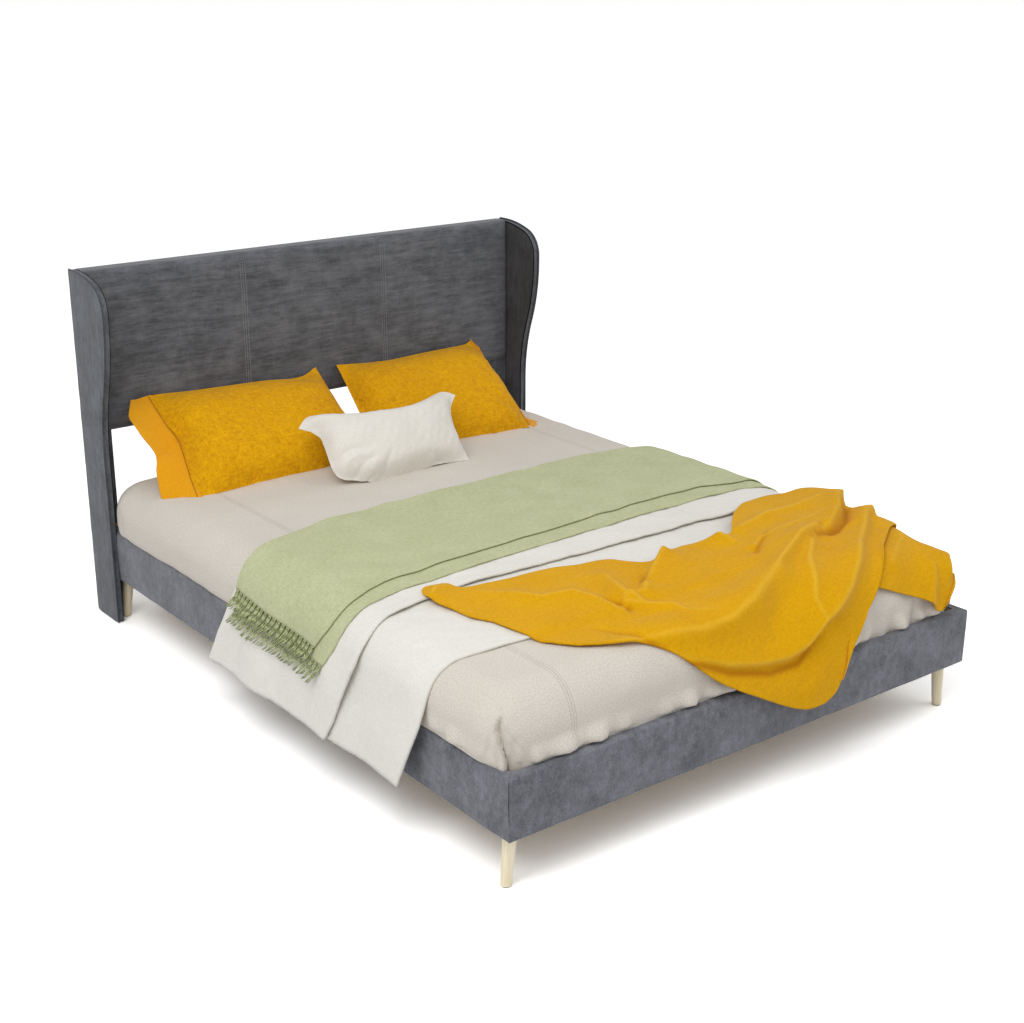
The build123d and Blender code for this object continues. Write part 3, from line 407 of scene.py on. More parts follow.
duvetCotton = clothMaterial("duvetCotton", tone(222, 219, 211), tone(232, 230, 223), 160, 900,
                            0.0004)
# fleece: two base tones, then a painted highlight for crests and a painted shade for troughs
fleece = fleeceMaterial("fleece", tone(196, 138, 0), tone(236, 180, 6), tone(242, 198, 70),
                        tone(176, 108, 0))
throwWool = weaveMaterial("throwWool", tone(170, 176, 132), tone(206, 209, 172), (0, 0, 0), 0.0028,
                          0.0006, flat=True, slub=0.6, clouds=9.0, slubScale=(240, 50))
fringeYarn = clothMaterial("fringeYarn", tone(132, 148, 92), tone(204, 208, 160), 170, 900, 0.0006)
whiteCotton = clothMaterial("whiteCotton", tone(220, 216, 207), tone(232, 228, 220), 240, 900,
                            0.0004)
legWood = woodMaterial("legWood", tone(250, 240, 214), tone(238, 223, 186), (60, 60, 5))
frameWood = woodMaterial("frameWood", tone(222, 198, 156), tone(196, 164, 118), (2.2, 40, 40), 0.7)
zincSteel = metalMaterial("zincSteel", tone(176, 178, 180), 0.35, 1.0)
blackSteel = metalMaterial("blackSteel", tone(40, 41, 43), 0.45, 0.6)
nylon = metalMaterial("nylon", tone(46, 46, 48), 0.55, 0.0)
lining = clothMaterial("lining", tone(38, 40, 44), tone(58, 60, 64), 500, 900, 0.0003)
print("finishes made")

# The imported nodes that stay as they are, each with its own finish
keptFinishes = {
    wingVelvet: ["headboard_post_left", "headboard_post_right"],
    frameWood: ["headboard_battens", "headboard_board", "headboard_dowels", "wing_left_core",
                "wing_right_core", "side_rail_left", "side_rail_right", "foot_rail", "head_rail",
                "ledger_left", "ledger_right", "corner_blocks", "centre_beam", "support_leg_foot",
                "support_leg_head", "slats"],
    legWood: ["leg_foot_left", "leg_foot_right", "leg_head_left", "leg_head_right"],
    zincSteel: ["corner_bolts", "head_rail_bolts", "wing_bolts", "ledger_screws", "leg_bolts",
                "hanger_bolts", "support_studs", "levelling_foot_foot", "levelling_foot_head"],
    blackSteel: ["beam_hangers", "leg_plates"],
    nylon: ["leg_glides", "headboard_glides"],
    lining: ["headboard_back_cloth", "slat_straps"],
}
for finish, nodes in keptFinishes.items():
    for node in nodes:
        held = bpy.data.objects[node]
        held.data.materials.clear()
        held.data.materials.append(finish)

# Rail covers: a padded C section carried along each rail, cut square to the mitre at the foot
rail = {"round": 0.007, "padding": 0.0048, "wrap": 0.0038, "puff": 0.0012, "steps": 240}


def railSection():
    # distances in from the outer face and heights: round the outside, then back inside the C
    half = (railTop - railBottom) / 2
    turn = np.linspace(0, pi / 2, 7)
    r = rail["round"]
    topArc = np.stack([r - r * np.sin(turn), half - r + r * np.cos(turn)], -1)
    face = np.stack([np.zeros(17), np.linspace(half - r, r - half, 19)[1:-1]], -1)
    bottomArc = np.stack([r - r * np.cos(turn), -half + r - r * np.sin(turn)], -1)
    wrapped = half - rail["wrap"]
    inside = np.array([[railDepth, -half], [railDepth, -wrapped], [rail["padding"], -wrapped],
                       [rail["padding"], wrapped], [railDepth, wrapped], [railDepth, half]])
    section = np.vstack([topArc, face, bottomArc, inside])
    section[:, 1] += railMiddle
    return section


def railCover(name, node, start, end, acrossAxis, side):
    # carries the section along the rail; each point starts at its own mitre and puffs a little
    section = railSection()
    t = np.linspace(0, 1, rail["steps"])[:, None]
    inward = section[:, 0][None, :]
    height = section[:, 1][None, :] + 0 * t
    outside = ease(0.012 - inward, 0.0, 0.01)
    mitre = inward if acrossAxis else 0
    along = (start + inward) * (1 - t) + (end - mitre) * t
    rise = (height - railMiddle) / (railTop - railBottom)
    swell = rail["puff"] * (1 - 4 * rise ** 2) + 0.0006 * waves(along, height, 0.16, 3)
    depth = inward - outside * swell
    if acrossAxis:
        points = np.stack([along, footFace + depth, height], -1)
    else:
        points = np.stack([side * (railHalf - depth), along, height], -1)
    mesh = closedMesh(name, points)
    piece = place(name, mesh, railVelvet, "bed_frame", "velvet")
    mesh.set_sharp_from_angle(angle=radians(40))
    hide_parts(node)


railCover("sideRailCoverLeft", "side_rail_left_cover", footFace, postFront, False, -1)
railCover("sideRailCoverRight", "side_rail_right_cover", footFace, postFront, False, 1)
railCover("footRailCover", "foot_rail_cover", -railHalf, railHalf, True, 0)
print("rail covers made")

# The bed's surface, on which every cloth lies. p runs across and q along the cloth's own length;
# past the straight top both turn down over the shoulders, towards the corner they share
bed = {"reach": 0.815, "shoulder": 0.1, "crown": 12.78, "hang": radians(79.8),
       "footGap": 0.031, "step": 0.001, "longest": 0.9, "smoothing": 20, "normalStep": 0.002}


def fallTable(turns):
    # heading of the profile against its length, smoothed, then summed into reach and drop
    length = np.arange(0, bed["longest"], bed["step"])
    heading = fromPlaces(turns, length)
    near = bed["smoothing"]
    kernel = np.exp(-np.linspace(-2, 2, 2 * near + 1) ** 2)
    mirrored = 2 * heading[0] - heading[near:0:-1]
    padded = np.concatenate([mirrored, heading, np.full(near, heading[-1])])
    heading = np.convolve(padded, kernel / kernel.sum(), "valid")
    reach, drop = [np.concatenate([[0], np.cumsum(part)[:-1]]) * bed["step"]
                   for part in (np.cos(heading), np.sin(heading))]
    return length, reach, drop


quarter = bed["shoulder"] * pi / 2
longest = bed["longest"]
tuckedSide = fallTable([(0, 0), (quarter, pi / 2), (quarter + 0.02, pi / 2), (quarter + 0.05, 1.75),
                        (quarter + 0.06, 1.9), (quarter + 0.068, 2.9), (quarter + 0.092, 2.9),
                        (quarter + 0.1, pi / 2), (longest, pi / 2)])
tuckedFoot = fallTable([(0, 0), (quarter, pi / 2), (longest, pi / 2)])
hangingSide = fallTable([(0, 0), (bed["shoulder"] * bed["hang"], bed["hang"]),
                         (longest, bed["hang"])])
hangingFoot = fallTable([(0, 0), (0.12, radians(66)), (0.25, radians(67)), (0.29, radians(80)),
                         (longest, radians(82))])
bedFoot = footFace + bed["footGap"] + bed["shoulder"]
bedHead = sheetHigh.y - bed["shoulder"]
bedSide = bed["reach"] - bed["shoulder"]


def crownDrop(x):
    # the crown falls as x^2 over twice its radius, as far as the shoulder
    return np.minimum(np.abs(x), bedSide) ** 2 / (2 * bed["crown"])


def bedPoint(p, q, side, foot):
    # height of the crown, then reach and drop from the fall tables past the shoulders
    sideways = np.maximum(np.abs(p) - bedSide, 0)
    forward = np.maximum(bedFoot - q, 0)
    rearward = np.maximum(q - bedHead, 0)
    endways = forward + rearward
    past = np.maximum(np.hypot(sideways, endways), 1e-9)
    length = (sideways ** 4 + endways ** 4) ** 0.25
    share = (sideways / past) ** 2
    reach, drop = [np.interp(length, side[0], side[column]) * share
                   + np.interp(length, foot[0], foot[column]) * (1 - share) for column in (1, 2)]
    x = np.sign(p) * (np.minimum(np.abs(p), bedSide) + reach * sideways / past)
    y = np.clip(q, bedFoot, bedHead) + reach * (rearward - forward) / past
    z = bedTop - crownDrop(p) - drop
    return np.stack([x, y, z], -1)


def onBed(p, q, lift, side, foot):
    # lift is added along the bed surface's own normal
    p, q, lift = np.broadcast_arrays(p, q, lift)
    step = bed["normalStep"]
    points = bedPoint(p, q, side, foot)
    across = bedPoint(p + step, q, side, foot) - bedPoint(p - step, q, side, foot)
    along = bedPoint(p, q + step, side, foot) - bedPoint(p, q - step, side, foot)
    normal = np.cross(across, along)
    normal /= np.maximum(np.linalg.norm(normal, axis=-1, keepdims=True), 1e-12)
    return points + normal * lift[..., None]


def fineness(full):
    return full


def clothUv(p, q):
    return np.stack(np.broadcast_arrays(p, q), -1)


def fromLine(x, y, line):
    # distance from a line of places, its height there, and the side as a signed area
    nearest = np.full(x.shape, 9.0)
    height = np.zeros(x.shape)
    signed = np.zeros(x.shape)
    for (ax, ay, ah), (bx, by, bh) in zip(line[:-1], line[1:]):
        dx, dy = bx - ax, by - ay
        t = np.clip(((x - ax) * dx + (y - ay) * dy) / (dx * dx + dy * dy), 0, 1)
        away = np.hypot(x - ax - t * dx, y - ay - t * dy)
        closer = away < nearest
        nearest = np.where(closer, away, nearest)
        height = np.where(closer, ah + (bh - ah) * t, height)
        signed = np.where(closer, dx * (y - ay) - dy * (x - ax), signed)
    return nearest, height, signed


def foldHeight(x, y, line, left, right):
    # tent over a line: height e^(-(sqrt(d^2 + r^2) - r) / width), its width different on each side
    nearest, height, signed = fromLine(x, y, line)
    width = np.where(signed > 0, left, right)
    crest = np.minimum(0.006, width * 0.6)
    return height * np.exp(-(np.sqrt(nearest ** 2 + crest ** 2) - crest) / width)


# Fitted sheet: drawn over the shoulders and tucked in behind the rails
def makeSheet():
    fine, coarse = fineness(0.0047), fineness(0.019)
    edge, end = bedSide + sheet["hem"], bedHead + sheet["hem"]
    # closer rows where the sheet turns down and where the open corner shows its folds
    p = np.concatenate([np.arange(-edge, -bedSide + 0.01, fine),
                        np.arange(-bedSide + 0.01, 0.35, coarse), np.arange(0.35, bedSide, 0.008),
                        np.linspace(bedSide, edge, int(sheet["hem"] / fine))])[:, None]
    q = np.concatenate([np.arange(bedFoot - sheet["hem"], bedFoot + 0.02, fine * 0.85),
                        np.arange(bedFoot + 0.02, bedHead, coarse),
                        np.linspace(bedHead, end, int(sheet["hem"] / 0.012))])[None, :]
    p, q = np.broadcast_arrays(p, q)
    sideways = np.maximum(np.abs(p) - bedSide, 0)
    forward = np.maximum(bedFoot - q, 0)
    past = np.maximum(sideways, forward)
    angle = np.arctan2(forward + 1e-6, sideways + 1e-6)
    corner = ease(np.minimum(sideways, forward), 0.015, 0.09) * ease(-past, -0.21, -0.19)
    soft = 0.0016 * waves(p, q, 0.42, 11) + 0.0008 * waves(p, q, 0.12, 12)
    gathers = corner * np.where(p > 0, 0.006 * np.sin(angle * 30) + 0.004 * waves(p, q, 0.05, 13),
                                0.0015 * waves(p, q, 0.06, 13))
    # the elastic draws the foot edge into scallops just above the rail
    rim = bedTop - railTop + 0.057 - p ** 2 / (2 * bed["crown"])
    low = ease(past, rim - 0.055, rim - 0.016) * ease(-past, -rim + 0.001, -rim + 0.012)
    run = np.where(forward > sideways, p, q)
    swing = waves(run, 0 * run, sheet["scallopLength"], 14)
    scallops = low * sheet["scallop"] * np.maximum(0.45 + 0.85 * swing, 0)
    scallops = scallops * np.where(forward > sideways, 1.0, 0.8 * ease(footFace - q, -0.32, -0.26))
    scallops = scallops * (1 - 0.85 * ease(np.minimum(sideways, forward), 0.0, 0.035))
    folds = ease(past, 0.07, 0.16) * (forward > 0.02) * ease(p, 0.30, 0.5) * 0.005
    folds = folds * waves(p, q * 0.25, 0.07, 15)
    # the corner pocket: the side part lies over the foot part, with a step between them
    pocket = foldHeight(p, q - footFace, sheet["pocket"], 0.0018, 0.05)
    trough = foldHeight(p, q - footFace, sheet["pocket"], 0.04, 0.0018)
    overlap = (0.95 * pocket - 0.75 * trough) * ease(-past, -0.24, -0.2)
    lift = soft + gathers + scallops + folds + overlap
    points = onBed(p, q, lift, tuckedSide, tuckedFoot)
    points[..., 2] = np.maximum(points[..., 2], sheetLow.z + 0.002)
    # narrower between the wings, so that the mattress lifts out past them
    wide = sheet["halfWidth"] - sheet["narrower"] * ease(points[..., 1], 0.84, 0.92)
    points[..., 0] = np.clip(points[..., 0], -wide, wide)
    mesh = surfaceMesh("fittedSheet", points, clothUv(p, q))
    piece = place("fittedSheet", mesh, sheetLinen, "mattress", "sheet_linen")
    thicken(piece, sheet["thickness"])
    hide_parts("fitted_sheet", "mattress")


makeSheet()
print("sheet made")


# Duvet, folded double with the fold under the throw
duvet = {"hem": 0.379, "upperHem": 0.3815, "low": 0.0015, "layer": 0.0095, "thickness": 0.006,
         "gape": 0.0035, "sideGape": 0.009, "gapePlace": 0.93, "gapeWidth": 0.08,
         "front": [(-1.1, 0.363), (-1.0, 0.334), (-0.924, 0.309), (-0.87, 0.302), (-0.828, 0.299),
                   (-0.786, 0.3), (-0.752, 0.297), (-0.712, 0.294), (-0.634, 0.283), (-0.535, 0.272),
                   (-0.42, 0.25), (0.0, 0.22), (0.4, 0.24), (1.1, 0.33)],
         "upper": [(-1.1, 0.682), (-1.048, 0.656), (-0.986, 0.632), (-0.906, 0.602), (-0.858, 0.579),
                   (-0.816, 0.575), (-0.792, 0.579), (-0.764, 0.586), (-0.72, 0.597), (-0.628, 0.608),
                   (-0.473, 0.625), (-0.367, 0.613), (-0.175, 0.60), (0.103, 0.59), (0.343, 0.598),
                   (0.7, 0.6), (1.1, 0.64)],
         "back": [(-1.1, 1.302), (-1.0, 1.272), (-0.92, 1.243), (-0.85, 1.21), (-0.75, 1.19),
                  (0.0, 1.215), (0.7, 1.225), (0.85, 1.23), (1.0, 1.29), (1.1, 1.32)]}


def edgeLine(places, p):
    return footFace + fromPlaces(places, p)


def foldedCloth(p, lowFront, fold, highFront, lowLift, highLift, steps, scale=1.0):
    # a strip that runs back from the lower front edge, turns through half a circle at the fold
    # and comes forward again to the upper front edge; scale is what one step of lift measures
    radius = (highLift - lowLift) / 2
    down = np.linspace(0, 1, steps)[None, :]
    turn = np.linspace(0, pi, 9)[None, 1:-1]
    lower = lowFront + (fold - lowFront) * down
    bend = fold + radius * scale * np.sin(turn) + 0 * p
    upper = fold + (highFront - fold) * down
    q = np.concatenate([lower + 0 * p, bend, upper + 0 * p], 1)
    lift = np.concatenate([lowLift + 0 * lower + 0 * p,
                           lowLift + radius * (1 - np.cos(turn)) + 0 * p,
                           highLift + 0 * upper + 0 * p], 1)
    run = np.concatenate([lower + 0 * p, bend, 2 * fold - upper + 0 * p], 1)
    return q, lift, run


flutes = {"start": 0.06, "run": 0.25, "depth": 0.012, "length": 0.34, "inward": 0.004, "seed": 21}


def sideFlutes(p, q):
    # soft flutes that deepen down the hanging side; the duvet and the throw share them, so that
    # they never cross
    start = bedSide + flutes["start"]
    fall = ease(np.abs(p), start, start + flutes["run"])
    even = np.sin(2 * pi * q / flutes["length"] + flutes["seed"])
    uneven = waves(q, p * 0.25, flutes["length"] * 0.8, flutes["seed"])
    return np.maximum(fall * flutes["depth"] * (0.6 * even + 0.5 * uneven), -flutes["inward"])


def makeDuvet():
    rows, steps = fineness(210), fineness(112)
    reach = bedSide + duvet["hem"]
    p = np.linspace(-reach, reach, rows)[:, None]
    q, lift, run = foldedCloth(p, edgeLine(duvet["front"], p), edgeLine(duvet["back"], p),
                               edgeLine(duvet["upper"], p), duvet["low"] + duvet["thickness"],
                               duvet["low"] + duvet["thickness"] + duvet["layer"], steps)
    p, q = np.broadcast_arrays(p, q)
    level = (lift - lift.min()) / duvet["layer"]
    past = np.maximum(np.abs(p) - bedSide, 0) / duvet["hem"]
    p = np.sign(p) * (np.abs(p) - level * past * (duvet["hem"] - duvet["upperHem"]))
    # the upper layer lifts along its front edge, most where it turns down the side
    edge = ease(0.05 - (q - edgeLine(duvet["upper"], p)), 0.0, 0.05) * np.round(level)
    besides = (np.abs(p) - duvet["gapePlace"]) / duvet["gapeWidth"]
    gape = duvet["gape"] + duvet["sideGape"] * np.exp(-besides ** 2)
    lift = lift + edge * gape * (0.8 + 0.5 * waves(p, 0 * p, 0.16, 24))
    puff = 0.0012 * waves(p, q, 0.16, 22) + 0.0006 * waves(p, q, 0.05, 23)
    points = onBed(p, q, lift + sideFlutes(p, q) + puff, hangingSide, hangingFoot)
    mesh = surfaceMesh("duvetCloth", points, clothUv(p, run))
    piece = place("duvetCloth", mesh, duvetCotton, "duvet", "white_duvet")
    thicken(piece, duvet["thickness"], 0.0)
    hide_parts("duvet")
    flatLength = float((run.max(1) - run.min(1)).mean())
    2 * reach
    2 * reach * flatLength


makeDuvet()
print("duvet made")


# Throw, folded double, with tassels at both ends
throw = {"low": 0.0235, "layer": 0.0062, "thickness": 0.0036, "hem": 0.197, "upperHem": 0.163,
         "taper": 0.027,
         "front": [(-0.95, 0.742), (-0.912, 0.719), (-0.846, 0.68), (-0.814, 0.669), (-0.78, 0.664),
                   (-0.736, 0.671), (-0.682, 0.686), (-0.622, 0.692), (-0.301, 0.699), (-0.091, 0.703),
                   (0.221, 0.721), (0.479, 0.741), (0.66, 0.753), (0.76, 0.72), (0.95, 0.73)],
         "upper": [(-0.95, 0.815), (-0.878, 0.763), (-0.822, 0.72), (-0.796, 0.713), (-0.768, 0.713),
                   (-0.738, 0.72), (-0.692, 0.742), (-0.636, 0.755), (-0.493, 0.761), (-0.035, 0.772),
                   (0.295, 0.804), (0.552, 0.817), (0.698, 0.792), (0.95, 0.78)],
         "back": [(-0.95, 1.19), (-0.85, 1.187), (-0.794, 1.195), (-0.708, 1.215), (-0.531, 1.246),
                  (-0.265, 1.24), (0.107, 1.245), (0.545, 1.277), (0.704, 1.258), (0.95, 1.25)],
         "tassel": 0.056, "pitch": 0.0212, "strand": 0.0046, "yarn": 0.0034, "lean": 0.033,
         "splay": 0.014}


def throwLift(p, q, level):
    # the same soft waves under both layers, so that they never cross
    soft = 0.001 * waves(p, q, 0.14, 31) + 0.0012 * waves(p, q, 0.16, 22)
    return throw["low"] + level * throw["layer"] + sideFlutes(p, q) + soft


def throwTaper(p, q, level):
    # how much the hem draws up toward the back edge, most in the upper layer
    share = np.clip((q - footFace - 0.74) / 0.45, 0, 1)
    fall = np.maximum(np.abs(p) - bedSide, 0) / throw["upperHem"]
    return throw["taper"] * (0.45 + 0.55 * level) * share * fall


def makeThrow():
    rows, steps = fineness(200), fineness(105)
    reach = bedSide + throw["hem"]
    p = np.linspace(-reach, reach, rows)[:, None]
    fold = edgeLine(throw["back"], p)
    shorter = (throw["hem"] - throw["upperHem"]) / reach
    q, level, run = foldedCloth(p, edgeLine(throw["front"], p), fold,
                                edgeLine(throw["upper"], p * (1 - shorter)), 0.0, 1.0, steps,
                                throw["layer"])
    p, q = np.broadcast_arrays(p, q)
    p = p * (1 - level * shorter)
    p = p - np.sign(p) * throwTaper(p, q, level)
    points = onBed(p, q, throwLift(p, q, level), hangingSide, hangingFoot)
    mesh = surfaceMesh("throwCloth", points, clothUv(p, run))
    piece = place("throwCloth", mesh, throwWool, "throw", "green_weave")
    thicken(piece, throw["thickness"], 0.0)
    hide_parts("throw")
    return piece, reach, float((run.max(1) - run.min(1)).mean())


def makeTassels():
    # each tassel is three twisted yarns: tubes that swell at the knot and narrow at the tip
    rng = np.random.default_rng(41)
    bundles = []
    sides, rings = 6, 11
    around = circle(sides)
    for hemName, level in (("hem", 0.0), ("upperHem", 1.0)):
        front = throw["front"] if level == 0 else throw["upper"]
        for side in (-1, 1):
            root = side * (bedSide + throw[hemName])
            near = float(edgeLine(front, np.array([root]))[0])
            far = float(edgeLine(throw["back"], np.array([root]))[0])
            places = np.arange(near + throw["pitch"] / 2, far, throw["pitch"])
            t = np.linspace(0, 1, rings)
            bunch = (len(places), 3)
            tall = rng.uniform(0.93, 1.07, bunch[0])[:, None] * rng.uniform(0.93, 1.05, bunch)
            tall = throw["tassel"] * tall.ravel()
            lean = rng.normal(throw["lean"], 0.003, bunch[0])[:, None] + rng.normal(0, 0.0014, bunch)
            lean = lean.ravel()
            places = (places[:, None] + throw["strand"] * np.array([-1, 0, 1])).ravel()
            start = root - side * throwTaper(root, places, level)
            p = start[:, None] + side * (t[None, :] * tall[:, None] - 0.003)
            q = places[:, None] + lean[:, None] * t[None, :] ** 1.5
            lift = 0.0015 * rng.uniform(0, 1, len(places))[:, None] * t[None, :]
            lift = throwLift(p, q, level) + lift + throw["splay"] * t[None, :] ** 1.4
            line = onBed(p, q, lift, hangingSide, hangingFoot)
            knot = 0.2 * np.exp(-((t - 0.1) / 0.08) ** 2)
            width = throw["yarn"] * (0.95 + knot - 0.35 * ease(t, 0.85, 1.0))
            twist = around[None, :] + 0 * t[:, None]
            offset = np.zeros((rings, sides, 3))
            # two strands twisted together: the section is a flattened ring that turns on its way
            flat, full = np.cos(twist) * 1.15, np.sin(twist) * 0.6
            turn = 9 * t[:, None]
            offset[..., 1] = (flat * np.cos(turn) - full * np.sin(turn)) * width[:, None]
            offset[..., 0] = (flat * np.sin(turn) + full * np.cos(turn)) * width[:, None]
            bundles.append(line[:, :, None, :] + offset[None])
    mesh = closedMesh("throwTassels", np.concatenate(bundles))
    piece = place("throwTassels", mesh, fringeYarn, "throw", "green_fringe")
    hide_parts("throw_fringe")
    return piece


throwPiece, throwReach, throwLength = makeThrow()
tassels = makeTassels()
2 * throwReach
2 * throwReach * throwLength
print("throw made")

# Headboard: cover over foam, wrapped round the edges, pulled in along two seams
pad = {"round": 0.02, "thickness": 0.0025, "grow": 0.0005, "puff": 0.004, "seamShare": 1 / 3,
       "groove": 0.0016, "grooveWidth": 0.014, "pull": 0.0025, "pullWidth": 0.03,
       "stitchRows": (-0.0085, 0.0, 0.0085), "stitchPitch": 0.0085, "stitchLength": 0.0074,
       "stitchWidth": 0.002}


def roundedRun(length, half, radius):
    # place along a flat face and depth behind it, for lengths that run on round the edge
    flat = half - radius
    past = np.maximum(np.abs(length) - flat, 0)
    turn = np.minimum(past / radius, pi / 2)
    place = np.minimum(np.abs(length), flat) + radius * np.sin(turn)
    depth = radius * (1 - np.cos(turn)) + np.maximum(past - radius * pi / 2, 0)
    return np.sign(length) * place, depth


def seamPlaces():
    half = (panelHigh.x - panelLow.x) / 2
    return [-half * pad["seamShare"], half * pad["seamShare"]]


def padFront(x, z):
    # y of the cover's front: crowned between the seams, with a groove and a soft pull at each
    top, bottom = panelHigh.z, panelLow.z
    rise = (z - (top + bottom) / 2) / ((top - bottom) / 2)
    bulge = pad["puff"] * (1 - rise ** 4) * (1 - 0.35 * (x / panelHigh.x) ** 4)
    dip = 0
    for seam in seamPlaces():
        away = np.abs(x - seam)
        dip = dip + pad["groove"] * np.exp(-(away / pad["grooveWidth"]) ** 2)
        dip = dip + pad["pull"] * np.exp(-(away / pad["pullWidth"]) ** 2)
    soft = 0.0005 * waves(x, z, 0.2, 51) + 0.0003 * waves(x, z, 0.06, 52)
    return panelLow.y + 0.001 - bulge + dip - soft


def makeHeadboard():
    halfX, halfZ = (panelHigh.x - panelLow.x) / 2, (panelHigh.z - panelLow.z) / 2
    middleZ = (panelHigh.z + panelLow.z) / 2
    depth = panelHigh.y - panelLow.y - 0.002
    reachX, reachZ = [half - pad["round"] + pad["round"] * pi / 2 + depth - pad["round"]
                      for half in (halfX, halfZ)]
    coarse = np.linspace(-reachX, reachX, fineness(250))
    near = np.concatenate([seam + np.linspace(-0.018, 0.018, 25) for seam in seamPlaces()])
    a = np.unique(np.concatenate([coarse, near]))[:, None]
    b = np.linspace(-reachZ, reachZ, fineness(130))[None, :]
    x, depthX = roundedRun(a, halfX, pad["round"])
    z, depthZ = roundedRun(b, halfZ, pad["round"])
    x, depthX, z, depthZ = np.broadcast_arrays(x, depthX, z + middleZ, depthZ)
    back = np.minimum((depthX ** 4 + depthZ ** 4) ** 0.25, depth)
    front = ease(-back, -0.02, 0)
    y = padFront(x, z) * front + panelLow.y * (1 - front) + back
    points = np.stack([x, y, z], -1)
    mesh = surfaceMesh("headboardPad", points)
    piece = place("headboardPad", mesh, panelVelvet, "bed_frame", "velvet")
    thicken(piece, pad["thickness"])
    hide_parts("headboard_cover", "headboard_foam")


def makeStitches():
    # short raised threads, each a six-sided prism with pinched ends, in rows along each seam
    bottom, top = panelLow.z + pad["round"], panelHigh.z - pad["round"]
    heights = np.arange(bottom, top, pad["stitchPitch"])
    profile = np.array([(-0.5, 0.35), (-0.3, 1.0), (0.3, 1.0), (0.5, 0.35)])
    around = circle(6)
    rows = []
    for seam in seamPlaces():
        for row in pad["stitchRows"]:
            x = seam + row
            ring = np.zeros((len(heights), 4, 6, 3))
            width = pad["stitchWidth"] / 2 * profile[:, 1]
            ring[..., 0] = x + np.cos(around)[None, None, :] * width[None, :, None]
            ring[..., 2] = (heights[:, None] + profile[:, 0] * pad["stitchLength"])[:, :, None]
            front = padFront(np.full_like(heights, x), heights)[:, None, None] - pad["thickness"]
            ring[..., 1] = front - np.sin(around)[None, None, :] * width[None, :, None] * 0.8
            rows.append(ring)
    mesh = closedMesh("headboardStitches", np.concatenate(rows))
    place("headboardStitches", mesh, stitchThread, "bed_frame", "velvet")


makeHeadboard()
makeStitches()
print("headboard made")

# Wings: a straight foot, a double sweep to a rounded nose, and a low crown
wing = {"footDepth": 0.153, "sweepLow": 0.556144, "sweepRise": 0.444432, "reach": 0.077,
        "nose": 0.09, "noseTurn": radians(70), "crown": 0.4, "glide": 0.004, "piping": 0.0026,
        "inset": 0.0022, "round": 0.0045, "puff": 0.0022}
wingLow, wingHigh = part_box("wing_right_cover")
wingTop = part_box("wing_right_piping")[1].z


def wingOutline(inset):
    # front edge from the floor up, as (y, z) with its own inset from the piping's outer edge
    front = wingHigh.y - wing["footDepth"]
    turn = 2 * atan(wing["reach"] / wing["sweepRise"])
    radius = wing["sweepRise"] / (2 * sin(turn))
    runs = [("line", wing["sweepLow"] - wing["glide"], 0), ("arc", radius + inset, turn),
            ("arc", radius - inset, -turn)]
    noseRise = wing["nose"] * sin(wing["noseTurn"])
    crownRise = wing["crown"] * (1 - sin(wing["noseTurn"]))
    face = wingTop - noseRise - crownRise - wing["sweepLow"] - wing["sweepRise"]
    runs += [("line", face, 0), ("arc", wing["nose"] - inset, -wing["noseTurn"]),
             ("arc", wing["crown"] - inset, wing["noseTurn"] - pi / 2)]
    place, heading = np.array([front + inset, wing["glide"]]), pi / 2
    points = [place]
    for kind, size, turned in runs:
        straight = kind == "line"
        steps = max(2, int(size / 0.012)) if straight else max(4, int(abs(turned) * size / 0.006))
        for step in range(steps):
            heading += turned / steps / 2
            length = size / steps if straight else 2 * size * sin(abs(turned) / steps / 2)
            place = place + length * np.array([cos(heading), sin(heading)])
            heading += turned / steps / 2
            points.append(place)
    last = np.array([wingHigh.y - 0.0008, wingTop - inset])
    count = max(2, int((last[0] - points[-1][0]) / 0.01))
    points += [points[-1] + (last - points[-1]) * (step + 1) / count for step in range(count)]
    return np.array(points)


def unitAway(line):
    # unit vectors at right angles to a line of (y, z), towards its outer side
    tangent = np.gradient(line, axis=0)
    tangent /= np.linalg.norm(tangent, axis=1, keepdims=True)
    return np.stack([-tangent[:, 1], tangent[:, 0]], -1)


